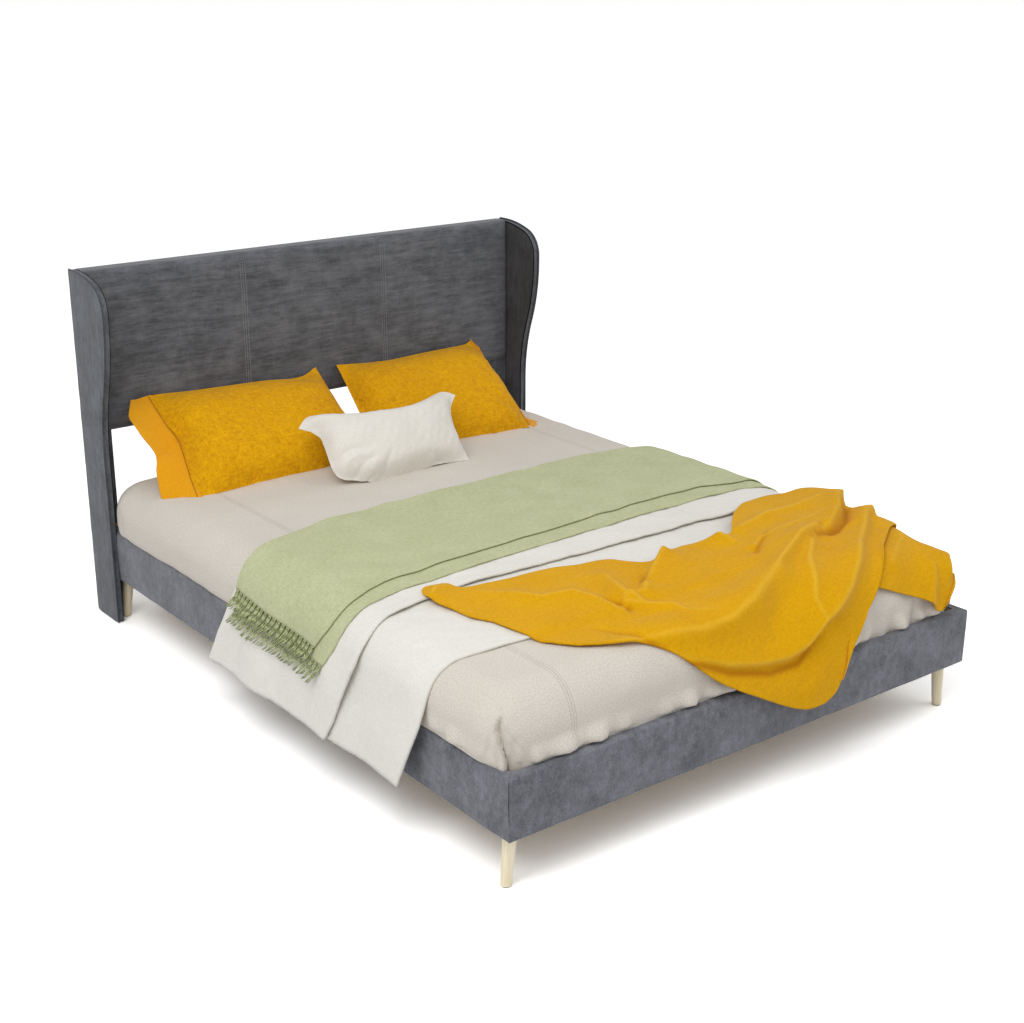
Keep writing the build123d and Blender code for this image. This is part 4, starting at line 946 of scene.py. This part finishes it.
def makeWing(name, side):
    edge = wingOutline(2 * wing["inset"])
    length = lengthsAlong(edge)
    rear = np.stack([np.full(len(edge), wingHigh.y + 0.0008),
                     wing["glide"] + (edge[-1, 1] - wing["glide"]) * length / length[-1]], -1)
    share = np.linspace(0, 1, 30) ** 1.6
    turn = np.linspace(0, pi / 2, 6)
    r = wing["round"]
    inner, outer = wingLow.x, wingHigh.x
    rowsAcross = []
    # outer face from the back, then its edge, the front band, and the inner face back again
    sections = [(s, 0.0, outer) for s in share[::-1]]
    sections += [(0.0, -r * 0.5 * sin(a), outer - r * 0.5 * (1 - cos(a))) for a in turn[1:]]
    sections += [(0.0, -r + r * cos(a), inner + r - r * sin(a)) for a in turn]
    sections += [(s, 0.0, inner) for s in share]
    away = unitAway(edge)
    for s, out, x in sections:
        point = edge + (rear - edge) * s + away * out
        depth = np.linalg.norm(point - edge, axis=1)
        swell = wing["puff"] * ease(depth, 0.0, 0.03) * ease(wingHigh.y - point[:, 0], 0.0, 0.03)
        soft = 0.0004 * waves(point[:, 0], point[:, 1], 0.09, 61) * ease(depth, 0.0, 0.02)
        push = (swell + soft) * (0.6 if x == outer and s > 0 else 0.0)
        rowsAcross.append(np.stack([side * (x + push), point[:, 0], point[:, 1]], -1))
    points = np.stack(rowsAcross, 1)
    mesh = closedMesh(name, points)
    piece = place(name, mesh, wingVelvet, "bed_frame", "velvet")
    mesh.set_sharp_from_angle(angle=radians(50))
    # the inner faces take the darker copy of the velvet, which paints their shade
    mesh.materials.append(wingVelvetPaintedShade)
    paintedShadeFaces = np.abs(readAll(mesh.polygons, "center")[:, 0]) < inner + wing["round"] * 0.4
    mesh.polygons.foreach_set("material_index", paintedShadeFaces.astype(np.int32))
    word = "left" if side < 0 else "right"
    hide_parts(f"wing_{word}_cover")
    line = wingOutline(wing["inset"])
    around = circle(12)[None, :]
    x = side * (outer - wing["inset"]) + wing["piping"] * np.cos(around) + 0 * line[:, :1]
    out = wing["piping"] * np.sin(around)[..., None]
    across = out * unitAway(line)[:, None, :] + line[:, None, :]
    tube = np.concatenate([x[..., None], across], -1)
    pipingMesh = closedMesh(name + "Piping", tube)
    piping = place(name + "Piping", pipingMesh, pipingVelvet, "bed_frame", "velvet_piping")
    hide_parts(f"wing_{word}_piping")


makeWing("wingLeft", -1)
makeWing("wingRight", 1)
print("wings made")

# Pillows and the small cushion: closed cloth forms blown up by pressure, then laid into the outline
# that each has on its own leaning plane, as (across, up). Creases are lines of (across, up, height)
pillowTilt, pillowLength = radians(31.5), 0.43
cushionTilt, cushionLength = radians(43), 0.268
# how far each edge stays flat, how thick the seam is, and the height and length of the crumples
pillowForm = {"sideFlat": 0.05, "lowFlat": 0.045, "topFlat": 0.085, "seam": 0.0012,
              "crumple": 0.0014, "crumpleLength": 0.12, "crease": 0.0006, "creaseLength": 0.035}
cushions = {
    "pillowLeft": {
        "tilt": pillowTilt, "x": -0.3353, "front": 0.088, "back": 0.055, "seed": 71, "flat": 0.85,
        "body": "pillow_left", "nodes": ("pillow_left", "pillow_left_case"),
        "slot": "orange_linen",
        "bottom": [(-0.330, -0.014), (-0.24, -0.018), (-0.145, -0.016), (-0.015, -0.03),
                   (0.131, -0.04), (0.315, -0.03)],
        "top": [(-0.302, 0.428), (-0.164, 0.414), (-0.029, 0.408), (0.11, 0.402), (0.215, 0.388),
                (0.262, 0.393), (0.318, 0.425)],
        "left": [(-0.330, -0.014), (-0.319, 0.063), (-0.304, 0.137), (-0.288, 0.218), (-0.30, 0.287),
                 (-0.301, 0.361), (-0.302, 0.428)],
        "right": [(0.315, -0.03), (0.304, 0.08), (0.303, 0.195), (0.308, 0.266), (0.313, 0.337),
                  (0.318, 0.425)],
        "hem": [(-0.411, 0.04, -0.05), (-0.413, 0.075, -0.03), (-0.402, 0.136, -0.006),
                (-0.382, 0.172, 0.006), (-0.391, 0.25, 0.0), (-0.399, 0.351, -0.004),
                (-0.362, 0.418, 0.0)],
        "pinch": [(-0.288, 0.218, -0.004), (-0.34, 0.19, -0.010), (-0.382, 0.166, -0.008)],
        "creases": [([(-0.30, 0.236, -0.006), (-0.25, 0.228, -0.005), (-0.19, 0.236, 0.0)], 0.010),
                    ([(-0.30, 0.25, 0.004), (-0.25, 0.262, 0.005), (-0.2, 0.275, 0.0)], 0.012),
                    ([(-0.31, 0.09, -0.004), (-0.24, 0.105, -0.006), (-0.17, 0.10, 0.0)], 0.010),
                    ([(-0.27, 0.035, 0.0), (-0.2, 0.075, 0.006), (-0.13, 0.14, 0.0)], 0.014),
                    ([(0.19, 0.39, -0.004), (0.15, 0.37, -0.004), (0.1, 0.365, 0.0)], 0.008),
                    ([(0.25, 0.40, -0.005), (0.22, 0.36, -0.004), (0.2, 0.32, 0.0)], 0.009),
                    ([(0.05, 0.05, 0.0), (0.12, 0.03, 0.005), (0.2, 0.06, 0.0)], 0.016)],
    },
    "pillowRight": {
        "tilt": pillowTilt, "x": 0.3499, "front": 0.088, "back": 0.055, "seed": 72, "flat": 0.85,
        "body": "pillow_right", "nodes": ("pillow_right", "pillow_right_case"),
        "slot": "orange_linen",
        "bottom": [(-0.325, -0.02), (-0.2, -0.03), (-0.033, -0.034), (0.074, -0.034), (0.176, -0.036),
                   (0.278, -0.034)],
        "top": [(-0.288, 0.417), (-0.183, 0.403), (-0.09, 0.395), (0.063, 0.402), (0.194, 0.406),
                (0.26, 0.407), (0.288, 0.425)],
        "left": [(-0.325, -0.02), (-0.335, 0.08), (-0.324, 0.188), (-0.302, 0.321), (-0.288, 0.417)],
        "right": [(0.278, -0.034), (0.281, 0.051), (0.280, 0.15), (0.276, 0.244), (0.290, 0.353),
                  (0.288, 0.425)],
        "hem": [(0.335, -0.012, -0.03), (0.328, 0.04, -0.055), (0.312, 0.13, -0.08),
                (0.302, 0.23, -0.08), (0.316, 0.31, -0.06), (0.331, 0.385, -0.035),
                (0.324, 0.418, -0.035)],
        "pinch": [(0.276, 0.244, -0.002), (0.31, 0.23, -0.004), (0.33, 0.22, -0.004)],
        "creases": [([(-0.31, 0.19, -0.006), (-0.24, 0.175, -0.006), (-0.17, 0.185, 0.0)], 0.013),
                    ([(0.24, 0.03, -0.004), (0.19, 0.06, -0.006), (0.13, 0.12, 0.0)], 0.009),
                    ([(0.16, 0.0, -0.005), (0.13, 0.05, -0.005), (0.08, 0.1, 0.0)], 0.009),
                    ([(0.22, 0.0, 0.005), (0.16, 0.04, 0.006), (0.1, 0.09, 0.0)], 0.010),
                    ([(0.05, 0.0, -0.005), (0.04, 0.05, -0.004), (0.02, 0.1, 0.0)], 0.008),
                    ([(-0.1, 0.41, -0.004), (-0.07, 0.37, -0.004), (-0.05, 0.32, 0.0)], 0.010)],
    },
    "lumbarCushion": {
        "tilt": cushionTilt, "x": -0.0219, "front": 0.077, "back": 0.046, "seed": 73, "flat": 0.4,
        "body": "lumbar_cushion", "nodes": ("lumbar_cushion", "lumbar_cushion_cover"),
        "slot": "white_cotton",
        "bottom": [(-0.268, 0.048), (-0.255, 0.026), (-0.228, 0.022), (-0.205, 0.012), (-0.16, -0.008),
                   (-0.12, 0.0), (-0.081, -0.002), (-0.011, 0.002), (0.097, 0.006), (0.212, 0.0)],
        "top": [(-0.318, 0.233), (-0.296, 0.255), (-0.262, 0.274), (-0.19, 0.255), (-0.116, 0.242),
                (-0.009, 0.233), (0.092, 0.233), (0.165, 0.248), (0.224, 0.264), (0.255, 0.268),
                (0.288, 0.243)],
        "left": [(-0.268, 0.048), (-0.273, 0.075), (-0.270, 0.1), (-0.264, 0.146), (-0.261, 0.185),
                 (-0.28, 0.212), (-0.318, 0.233)],
        "right": [(0.212, 0.0), (0.213, 0.06), (0.217, 0.117), (0.228, 0.165), (0.243, 0.198),
                  (0.258, 0.216), (0.288, 0.243)],
        "creases": [([(-0.27, 0.085, -0.010), (-0.21, 0.098, -0.010), (-0.13, 0.085, 0.0)], 0.009),
                    ([(-0.26, 0.06, 0.005), (-0.2, 0.075, 0.006), (-0.14, 0.06, 0.0)], 0.009),
                    ([(-0.23, 0.012, -0.010), (-0.18, 0.05, -0.011), (-0.12, 0.055, 0.0)], 0.008),
                    ([(-0.13, -0.012, -0.008), (-0.11, 0.035, -0.008), (-0.07, 0.07, 0.0)], 0.008),
                    ([(-0.3, 0.235, -0.004), (-0.26, 0.21, -0.007), (-0.21, 0.19, 0.0)], 0.009),
                    ([(-0.27, 0.27, 0.004), (-0.24, 0.235, 0.006), (-0.2, 0.22, 0.0)], 0.010),
                    ([(0.24, 0.25, -0.004), (0.2, 0.215, -0.007), (0.15, 0.19, 0.0)], 0.009),
                    ([(0.17, 0.27, 0.004), (0.15, 0.225, 0.005), (0.12, 0.2, 0.0)], 0.010),
                    ([(0.105, 0.0, -0.009), (0.08, 0.022, -0.008), (0.03, 0.04, 0.0)], 0.007),
                    ([(-0.28, 0.15, -0.003), (-0.24, 0.14, -0.004), (-0.2, 0.145, 0.0)], 0.010)],
    },
}
pillowLinen = weaveMaterial("pillowLinen", tone(192, 124, 0), tone(242, 184, 10),
                            (-pillowTilt, 0, 0), 0.0024, 0.0011, slub=0.7,
                            slubScale=(250, 46), clouds=3.0)
flangeCotton = clothMaterial("flangeCotton", tone(216, 146, 4), tone(236, 168, 16), 300, 800,
                             0.0004)
seamThread = clothMaterial("seamThread", tone(150, 88, 0), tone(176, 108, 4), 500, 900, 0.0003)


def inPlace(spec, along, up, out, front):
    # from the leaning plane's own axes to the room's; low parts settle with the bed's crown
    slope = spec["tilt"]
    x = spec["x"] + along
    y = front + up * cos(slope) - out * sin(slope)
    z = bedTop + 0.0005 + up * sin(slope) + out * cos(slope)
    past = np.clip(np.abs(x) - bedSide, 0, bed["shoulder"] * 0.95)
    turnedDown = bed["shoulder"] - np.sqrt(bed["shoulder"] ** 2 - past ** 2)
    ground = bedTop - crownDrop(x) - turnedDown
    z = z - (bedTop - ground) * (1 - ease(up, 0.0, 0.3))
    return np.stack([x, np.minimum(y, panelLow.y - 0.011), np.maximum(z, ground + 0.0014)], -1)


def lensForm(name, width, length, front, back):
    # closed form whose thickness falls as (1 - t^4)^0.6 to the ends and as a circle to the sides
    t = np.sin(np.linspace(-pi / 2, pi / 2, 61))[:, None]
    around = circle(96)[None, :]
    full = np.maximum(1 - t ** 4, 0) ** 0.6
    x = width / 2 * t + 0 * around
    y = length / 2 * np.cos(around) + 0 * t
    z = np.where(np.sin(around) > 0, front, back) * np.sin(around) * full
    return closedMesh(name, np.stack([x, y, z], -1))


def evaluated(piece):
    graph = bpy.context.evaluated_depsgraph_get()
    return bpy.data.meshes.new_from_object(piece.evaluated_get(graph))


blowing = {"use_pressure": True, "uniform_pressure_force": 4.0, "quality": 5, "mass": 0.3,
           "tension_stiffness": 25, "compression_stiffness": 25, "shear_stiffness": 10,
           "bending_stiffness": 0.3}


def blownUp(name, mesh, voxel, cap=0.03, frames=20):
    # remeshed, swollen by pressure with no gravity, and no point moved further than the cap
    piece = added(name, mesh)
    remesh = piece.modifiers.new("even", "REMESH")
    remesh.mode = "VOXEL"
    remesh.voxel_size = voxel
    bpy.context.view_layer.update()
    even = evaluated(piece)
    piece.modifiers.clear()
    piece.data = even
    start = readAll(even.vertices, "co")
    cloth = piece.modifiers.new("cloth", "CLOTH")
    for key, value in blowing.items():
        setattr(cloth.settings, key, value)
    cloth.settings.effector_weights.gravity = 0
    cloth.collision_settings.use_collision = False
    cloth.point_cache.frame_start = 1
    cloth.point_cache.frame_end = frames
    for step in range(1, frames + 1):
        bpy.context.scene.frame_set(step)
    blown = evaluated(piece)
    piece.modifiers.clear()
    bpy.context.scene.frame_set(1)
    shift = readAll(blown.vertices, "co") - start
    far = np.linalg.norm(shift, axis=1, keepdims=True)
    start = start + shift * np.minimum(1, cap / np.maximum(far, 1e-9))
    bpy.data.objects.remove(piece)
    return even, start.astype(float)


def shareAcross(a, b, count=40):
    # how far each point lies between the lowest and the highest a met at its own b
    slot = np.clip(((b - b.min()) / (b.max() - b.min()) * count).astype(int), 0, count - 1)
    low, high = np.full(count, np.inf), np.full(count, -np.inf)
    np.minimum.at(low, slot, a)
    np.maximum.at(high, slot, a)
    centres = b.min() + (np.arange(count) + 0.5) / count * (b.max() - b.min())
    low, high = np.interp(b, centres, low), np.interp(b, centres, high)
    return np.clip((a - low) / (high - low), 0, 1)


def edgeCurve(places, share):
    # point at a share of the way along a line of places, rounded by a running mean
    places = np.array(places)
    length = lengthsAlong(places)
    fine = np.linspace(0, 1, 81)
    line = smoothed(sampled(places, length, fine * length[-1]), np.ones(7))
    return sampled(line, fine, share)


def patched(spec, s, t):
    # both pairs of edges blended across the form, less the corners that they share
    bottom, top = edgeCurve(spec["bottom"], s), edgeCurve(spec["top"], s)
    left, right = edgeCurve(spec["left"], t), edgeCurve(spec["right"], t)
    s, t = s[:, None], t[:, None]
    low = np.array(spec["bottom"][0]) * (1 - s) + np.array(spec["bottom"][-1]) * s
    high = np.array(spec["top"][0]) * (1 - s) + np.array(spec["top"][-1]) * s
    return bottom * (1 - t) + top * t + left * (1 - s) + right * s - low * (1 - t) - high * t


def makeCushion(name, spec, front, material, voxel):
    width = spec["bottom"][-1][0] - spec["bottom"][0][0]
    length = spec["top"][-1][1]
    form = lensForm(name, width * 1.03, length * 1.05, spec["front"] * 0.62, spec["back"] * 0.62)
    mesh, points = blownUp(name, form, voxel)
    x, y, z = points.T
    s, t = shareAcross(x, y), shareAcross(y, x)
    along, up = patched(spec, s, t).T
    out = np.where(z > 0, z / z.max() * spec["front"], z / -z.min() * spec["back"])
    # flat near the seams, most along the top: the product of tanh(distance / reach) to each edge
    flat = spec["flat"]
    side, low, top = [flat * pillowForm[key] for key in ("sideFlat", "lowFlat", "topFlat")]
    full = np.tanh(s * width / side) * np.tanh((1 - s) * width / side)
    full = full * np.tanh(t * length / low) * np.tanh((1 - t) * length / top)
    out = out * full + np.sign(z) * pillowForm["seam"] * ease(np.abs(z), 0.0, 0.004)
    seed = spec["seed"]
    crumple = pillowForm["crumple"] * waves(along, up, pillowForm["crumpleLength"], seed)
    small = pillowForm["crease"] * waves(along, up, pillowForm["creaseLength"], seed + 5)
    crumple = crumple + small
    for line, reach in spec["creases"]:
        crumple = crumple + foldHeight(along, up, line, reach, reach)
    out = out + np.sign(out) * crumple * ease(np.abs(out), 0.0, 0.02)
    placed = inPlace(spec, along, up, out, front)
    mesh.vertices.foreach_set("co", placed.astype(np.float32).ravel())
    mesh.update()
    mesh.materials.clear()
    piece = place(name, mesh, material, spec["body"], spec["slot"])
    subdivide(piece)
    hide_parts(*spec["nodes"])


flange = {"thickness": 0.0028, "thread": 0.0012, "wave": 0.003, "waveLength": 0.11,
          "pinchWidth": 0.011, "under": -0.14}


def makeFlange(name, spec, side):
    # flat hem of the case, from the end seam out to its own edge, with a thread along the seam
    t = np.linspace(0, 1, 90)
    s = np.linspace(flange["under"], 1, 26)[None, :, None]
    seam = np.pad(edgeCurve(spec[side], t), ((0, 0), (0, 1)))
    hem = edgeCurve(spec["hem"], t)
    grid = seam[:, None, :] * (1 - s) + hem[:, None, :] * s
    wave = flange["wave"] * waves(grid[..., 1], grid[..., 0], flange["waveLength"],
                                  spec["seed"] + 9)
    out = grid[..., 2] + wave * np.clip(s[..., 0], 0, 1)
    pinch = flange["pinchWidth"]
    out = out + foldHeight(grid[..., 0], grid[..., 1], spec["pinch"], pinch, pinch)
    mesh = surfaceMesh(name, inPlace(spec, grid[..., 0], grid[..., 1], out, pillowFront))
    piece = place(name, mesh, flangeCotton, spec["body"], spec["slot"])
    thicken(piece, flange["thickness"], 0.0)
    around = circle(8)[None, :]
    thread = flange["thread"]
    turned = [seam[:, :1] + thread * np.cos(around), seam[:, 1:2] + 0 * around,
              flange["thickness"] + thread * np.sin(around) + 0 * seam[:, :1]]
    tube = closedMesh(name + "Seam", inPlace(spec, *turned, pillowFront))
    place(name + "Seam", tube, seamThread, spec["body"], spec["slot"])


pillowFront = panelLow.y - 0.0005 - pillowLength * cos(pillowTilt)
cushionFront = pillowFront - 0.043 - cushionLength * cos(cushionTilt)
makeCushion("pillowLeft", cushions["pillowLeft"], pillowFront, pillowLinen, 0.0055)
makeCushion("pillowRight", cushions["pillowRight"], pillowFront, pillowLinen, 0.0055)
makeCushion("lumbarCushion", cushions["lumbarCushion"], cushionFront, whiteCotton, 0.0045)
makeFlange("pillowLeftFlange", cushions["pillowLeft"], "left")
makeFlange("pillowRightFlange", cushions["pillowRight"], "right")
print("pillows made")

# Blanket: heaped across the foot end, with a tip over the foot rail; its right edge folds under and
# comes out again as a flap over the corner. Stations run along it, each from its back edge to its
# front edge as (across, along) on the bed's surface, along measured from the foot; level counts
# the layers beneath
blanket = {
    "stations": [
        (-0.607, 0.61, -0.607, 0.60, 0), (-0.602, 0.637, -0.604, 0.57, 0),
        (-0.585, 0.656, -0.594, 0.53, 0), (-0.56, 0.667, -0.586, 0.50, 0),
        (-0.519, 0.660, -0.584, 0.455, 0), (-0.501, 0.602, -0.558, 0.395, 0),
        (-0.43, 0.59, -0.541, 0.28, 0), (-0.359, 0.576, -0.531, 0.235, 0),
        (-0.29, 0.57, -0.487, 0.166, 0), (-0.223, 0.561, -0.429, 0.115, 0),
        (-0.179, 0.536, -0.39, 0.10, 0), (-0.097, 0.526, -0.341, 0.086, 0),
        (-0.057, 0.482, -0.275, 0.043, 0), (0.007, 0.40, -0.165, -0.063, 0),
        (0.131, 0.45, -0.093, -0.11, 0.2), (0.237, 0.42, 0.0, -0.16, 0.5),
        (0.29, 0.42, 0.049, -0.185, 1), (0.351, 0.484, 0.075, -0.195, 1.4),
        (0.439, 0.563, 0.101, -0.203, 1.7), (0.525, 0.612, 0.135, -0.205, 2),
        (0.642, 0.61, 0.169, -0.203, 2), (0.73, 0.585, 0.21, -0.185, 2),
        (0.80, 0.50, 0.238, -0.15, 2), (0.86, 0.42, 0.258, -0.125, 2),
        (0.88, 0.34, 0.275, -0.09, 2), (0.872, 0.325, 0.285, -0.075, 1.5),
        (0.84, 0.30, 0.305, -0.04, 1), (0.80, 0.285, 0.33, -0.005, 0.6),
        (0.78, 0.275, 0.36, 0.025, 0.2), (0.79, 0.27, 0.40, 0.042, 0),
        (0.85, 0.25, 0.453, 0.036, 0), (0.89, 0.225, 0.517, 0.012, 0),
        (0.93, 0.20, 0.582, -0.011, 0), (0.95, 0.17, 0.642, -0.04, 0),
        (0.955, 0.14, 0.668, -0.068, 0), (0.963, 0.115, 0.678, -0.082, 0),
        (0.972, 0.08, 0.735, -0.036, 0), (0.968, 0.055, 0.80, 0.01, 0),
        (0.953, 0.04, 0.85, 0.034, 0),
    ],
    # crests as (across, along, height), then the width of the fold on its left and right side
    "crests": [
        ([(-0.592, 0.60, 0.018), (-0.565, 0.625, 0.02), (-0.53, 0.63, 0.012)], 0.03, 0.03),
        ([(-0.40, 0.11, 0.012), (-0.285, 0.081, 0.02), (-0.173, 0.061, 0.028),
          (-0.085, 0.061, 0.034), (0.015, 0.081, 0.04), (0.159, 0.127, 0.044),
          (0.355, 0.231, 0.045), (0.461, 0.27, 0.04)], 0.075, 0.03),
        ([(0.758, 0.341, 0.034), (0.62, 0.23, 0.034), (0.481, 0.128, 0.034), (0.40, 0.085, 0.034),
          (0.315, 0.044, 0.038), (0.197, 0.002, 0.04), (0.12, -0.045, 0.036),
          (0.057, -0.062, 0.032), (-0.03, -0.055, 0.028), (-0.127, -0.031, 0.024),
          (-0.20, 0.0, 0.016), (-0.279, 0.039, 0.004)], 0.011, 0.06),
        ([(0.379, 0.206, 0.03), (0.255, 0.107, 0.026), (0.189, 0.046, 0.02),
          (0.19, -0.02, 0.008)], 0.03, 0.03),
        ([(0.80, 0.52, 0.05), (0.756, 0.46, 0.05), (0.662, 0.358, 0.046), (0.531, 0.278, 0.034),
          (0.441, 0.253, 0.016)], 0.009, 0.10),
        ([(-0.48, 0.55, 0.004), (-0.435, 0.475, 0.014), (-0.395, 0.405, 0.016),
          (-0.315, 0.373, 0.018), (-0.291, 0.30, 0.018), (-0.285, 0.223, 0.012)], 0.03, 0.04),
        ([(-0.177, 0.413, 0.012), (-0.223, 0.294, 0.022), (-0.219, 0.223, 0.02)], 0.02, 0.03),
        ([(-0.285, 0.223, 0.01), (-0.233, 0.268, 0.018), (-0.179, 0.26, 0.022),
          (-0.135, 0.302, 0.026), (-0.057, 0.354, 0.034), (0.005, 0.395, 0.042)], 0.009, 0.06),
        ([(-0.285, 0.223, 0.014), (-0.25, 0.245, 0.018), (-0.171, 0.159, 0.02),
          (-0.163, 0.12, 0.014), (-0.107, 0.092, 0.01)], 0.025, 0.03),
        ([(0.251, 0.294, 0.024), (0.311, 0.331, 0.016), (0.453, 0.349, 0.018),
          (0.61, 0.368, 0.012)], 0.03, 0.03),
        ([(0.331, 0.43, 0.018), (0.487, 0.465, 0.022), (0.61, 0.467, 0.02),
          (0.72, 0.48, 0.02)], 0.04, 0.035),
        ([(0.237, 0.413, 0.026), (0.25, 0.36, 0.012)], 0.03, 0.05),
        ([(0.78, 0.26, 0.02), (0.712, 0.169, 0.012), (0.56, 0.085, 0.008)], 0.03, 0.06),
        ([(0.84, 0.14, 0.016), (0.80, 0.07, 0.02), (0.76, 0.03, 0.016)], 0.03, 0.03),
        ([(0.70, 0.05, 0.01), (0.665, -0.01, 0.014), (0.65, -0.05, 0.012)], 0.012, 0.03),
    ],
    "valleys": [
        ([(-0.36, 0.13, 0.004), (-0.331, 0.088, 0.012), (-0.275, 0.02, 0.016),
          (-0.201, -0.012, 0.018), (-0.125, -0.052, 0.02), (0.0, -0.086, 0.026),
          (0.093, -0.086, 0.022), (0.18, -0.04, 0.004)], 0.03, 0.014),
        ([(-0.275, 0.31, 0.006), (-0.268, 0.267, 0.016), (-0.263, 0.225, 0.016)], 0.012, 0.012),
        ([(-0.085, 0.37, 0.004), (-0.113, 0.335, 0.014), (-0.135, 0.30, 0.012)], 0.010, 0.012),
        ([(0.225, 0.262, 0.01), (0.285, 0.308, 0.014), (0.36, 0.352, 0.004)], 0.012, 0.014),
        ([(0.437, 0.245, 0.012), (0.545, 0.266, 0.018), (0.626, 0.305, 0.018),
          (0.735, 0.40, 0.012)], 0.014, 0.012),
        ([(-0.395, 0.20, 0.002), (-0.367, 0.145, 0.008), (-0.34, 0.11, 0.006)], 0.02, 0.02),
    ],
    "thickness": 0.0055, "onSheet": 0.0095, "onDuvet": 0.0185, "layer": 0.0075, "dome": 0.010,
    "fold": 1.15,
    "flat": (1.40, 0.93), "heap": (0.3, 0.25), "heapSpread": (0.4, 0.22), "least": 0.0005,
    # how far from a crest its painted highlight and from a valley its painted shade reach, and the
    # height at which each is full
    "marks": (("crests", 0.0055, 0.024), ("valleys", 0.009, 0.016)),
}


def blanketLift(p, along, level):
    # what lies beneath, then each crest and valley, over a low dome
    onDuvet = ease(along - fromPlaces(duvet["front"], p), -0.035, 0.02)
    lift = blanket["onSheet"] + (blanket["onDuvet"] - blanket["onSheet"]) * onDuvet
    (heapP, heapAlong), (wide, long) = blanket["heap"], blanket["heapSpread"]
    heap = blanket["dome"] * np.exp(-((p - heapP) / wide) ** 2 - ((along - heapAlong) / long) ** 2)
    total = np.zeros(p.shape)
    for line, left, right in blanket["crests"]:
        total = total + (blanket["fold"] * foldHeight(p, along, line, left, right)) ** 3
    heap = heap + total ** (1 / 3)
    for line, left, right in blanket["valleys"]:
        heap = heap - foldHeight(p, along, line, left, right)
    soft = 0.0018 * waves(p, along, 0.16, 83) + 0.0004 * waves(p, along, 0.06, 84)
    return lift + np.maximum(heap + soft, blanket["least"]) + blanket["layer"] * level


def paintedLightMarks(p, along):
    # 1 along each crest of full height, -1 along each sunken trough, falling off over millimetres;
    # these place the fleece's painted highlight and painted shade
    marks = []
    for lines, reach, full in blanket["marks"]:
        mark = np.zeros(p.shape)
        for line, left, right in blanket[lines]:
            nearest, height, side = fromLine(p, along, line)
            mark = np.maximum(mark, np.exp(-(nearest / reach) ** 2) * np.clip(height / full, 0, 1))
        marks.append(mark)
    return marks[0] - marks[1]


def makeBlanket():
    stations = np.array(blanket["stations"])
    steps = np.linalg.norm(np.diff(stations[:, :2], axis=0), axis=1)
    steps = steps + np.linalg.norm(np.diff(stations[:, 2:4], axis=0), axis=1) + 0.004
    places = np.concatenate([[0], np.cumsum(steps)])
    rows, columns = fineness(318), fineness(154)
    t = np.linspace(0, places[-1], rows)
    kernel = np.exp(-np.linspace(-2, 2, fineness(13)) ** 2)
    lines = smoothed(sampled(stations, places, t), kernel)
    s = np.linspace(0, 1, columns)[None, :]
    p = lines[:, 0:1] * (1 - s) + lines[:, 2:3] * s
    along = lines[:, 1:2] * (1 - s) + lines[:, 3:4] * s
    level = lines[:, 4:5] + 0 * s
    points = onBed(p, footFace + along, blanketLift(p, along, level), hangingSide, hangingFoot)
    mesh = surfaceMesh("blanketCloth", points, clothUv(t[:, None] + 0 * s, s * 0.9 + 0 * p))
    # the crest attribute: painted highlight on crests, painted shade in troughs
    marks = mesh.attributes.new("crest", "FLOAT", "POINT")
    marks.data.foreach_set("value", paintedLightMarks(p, along).astype(np.float32).ravel())
    piece = place("blanketCloth", mesh, fleece, "blanket", "yellow_fleece")
    thicken(piece, blanket["thickness"])
    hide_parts("blanket")


makeBlanket()
print("blanket made")

# Studio: pale floor, soft light from the front left, and the photograph's view
studio = {"camera": (-2.7455, -3.596, 2.0434), "turn": (70.8226, 0, -37.6446), "lens": 56.57,
          "halfFloor": 40,
          # name, place, target, size and power of each light
          "lights": [("keyLight", (-3.0, -1.7, 4.3), (0, 0.2, 0.4), (3.2, 3.2), 118),
                     ("fillLight", (3.0, -3.0, 3.6), (0, 0, 0.4), (3.0, 3.0), 30)]}


def backgroundRays(shade):
    # 1 for the rays that show the background: straight, in gloss or through glass
    kinds = ("Is Camera Ray", "Is Glossy Ray", "Is Transmission Ray")
    straight, gloss, glass = [shade.node("ShaderNodeLightPath", output=kind) for kind in kinds]
    return (straight + gloss + glass).clamp()


def areaLight(name, place, target, size, power):
    lamp = bpy.data.lights.new(name, "AREA")
    lamp.shape = "RECTANGLE"
    lamp.size, lamp.size_y = size
    lamp.energy = power
    holder = added(name, lamp)
    holder.location = place
    direction = Vector(target) - holder.location
    holder.rotation_euler = direction.to_track_quat("-Z", "Y").to_euler()


def makeStudio():
    floorMaterial, shade, bsdf = startMaterial("studioFloor")
    shown = backgroundRays(shade).colours((0.8, 0.8, 0.8, 1), (1.7, 1.7, 1.7, 1))
    feed(shade, bsdf, colour=shown, roughness=1.0, specular=0.0)
    mesh = bpy.data.meshes.new("studioFloor")
    size = studio["halfFloor"]
    mesh.from_pydata([(-size, -size, 0), (size, -size, 0), (size, size, 0), (-size, size, 0)], [],
                     [(0, 1, 2, 3)])
    mesh.materials.append(floorMaterial)
    ground = added("studioFloor", mesh)
    for light in studio["lights"]:
        areaLight(*light)
    world = bpy.data.worlds.new("studioWorld")
    bpy.context.scene.world = world
    world.use_nodes = True
    tree = world.node_tree
    sky = tree.nodes["Background"].inputs
    sky["Color"].default_value = (1, 1, 1, 1)
    strength = backgroundRays(Shade(tree)) * 0.4 + 0.6
    tree.links.new(strength.socket, sky["Strength"])
    lens = bpy.data.cameras.new("photoCamera")
    lens.lens = studio["lens"]
    lens.sensor_width = 36
    lens.clip_end = 60
    camera = added("photoCamera", lens)
    camera.location = studio["camera"]
    camera.rotation_euler = tuple(radians(value) for value in studio["turn"])
    bpy.context.scene.camera = camera
    bpy.context.scene.view_settings.view_transform = "Standard"


makeStudio()
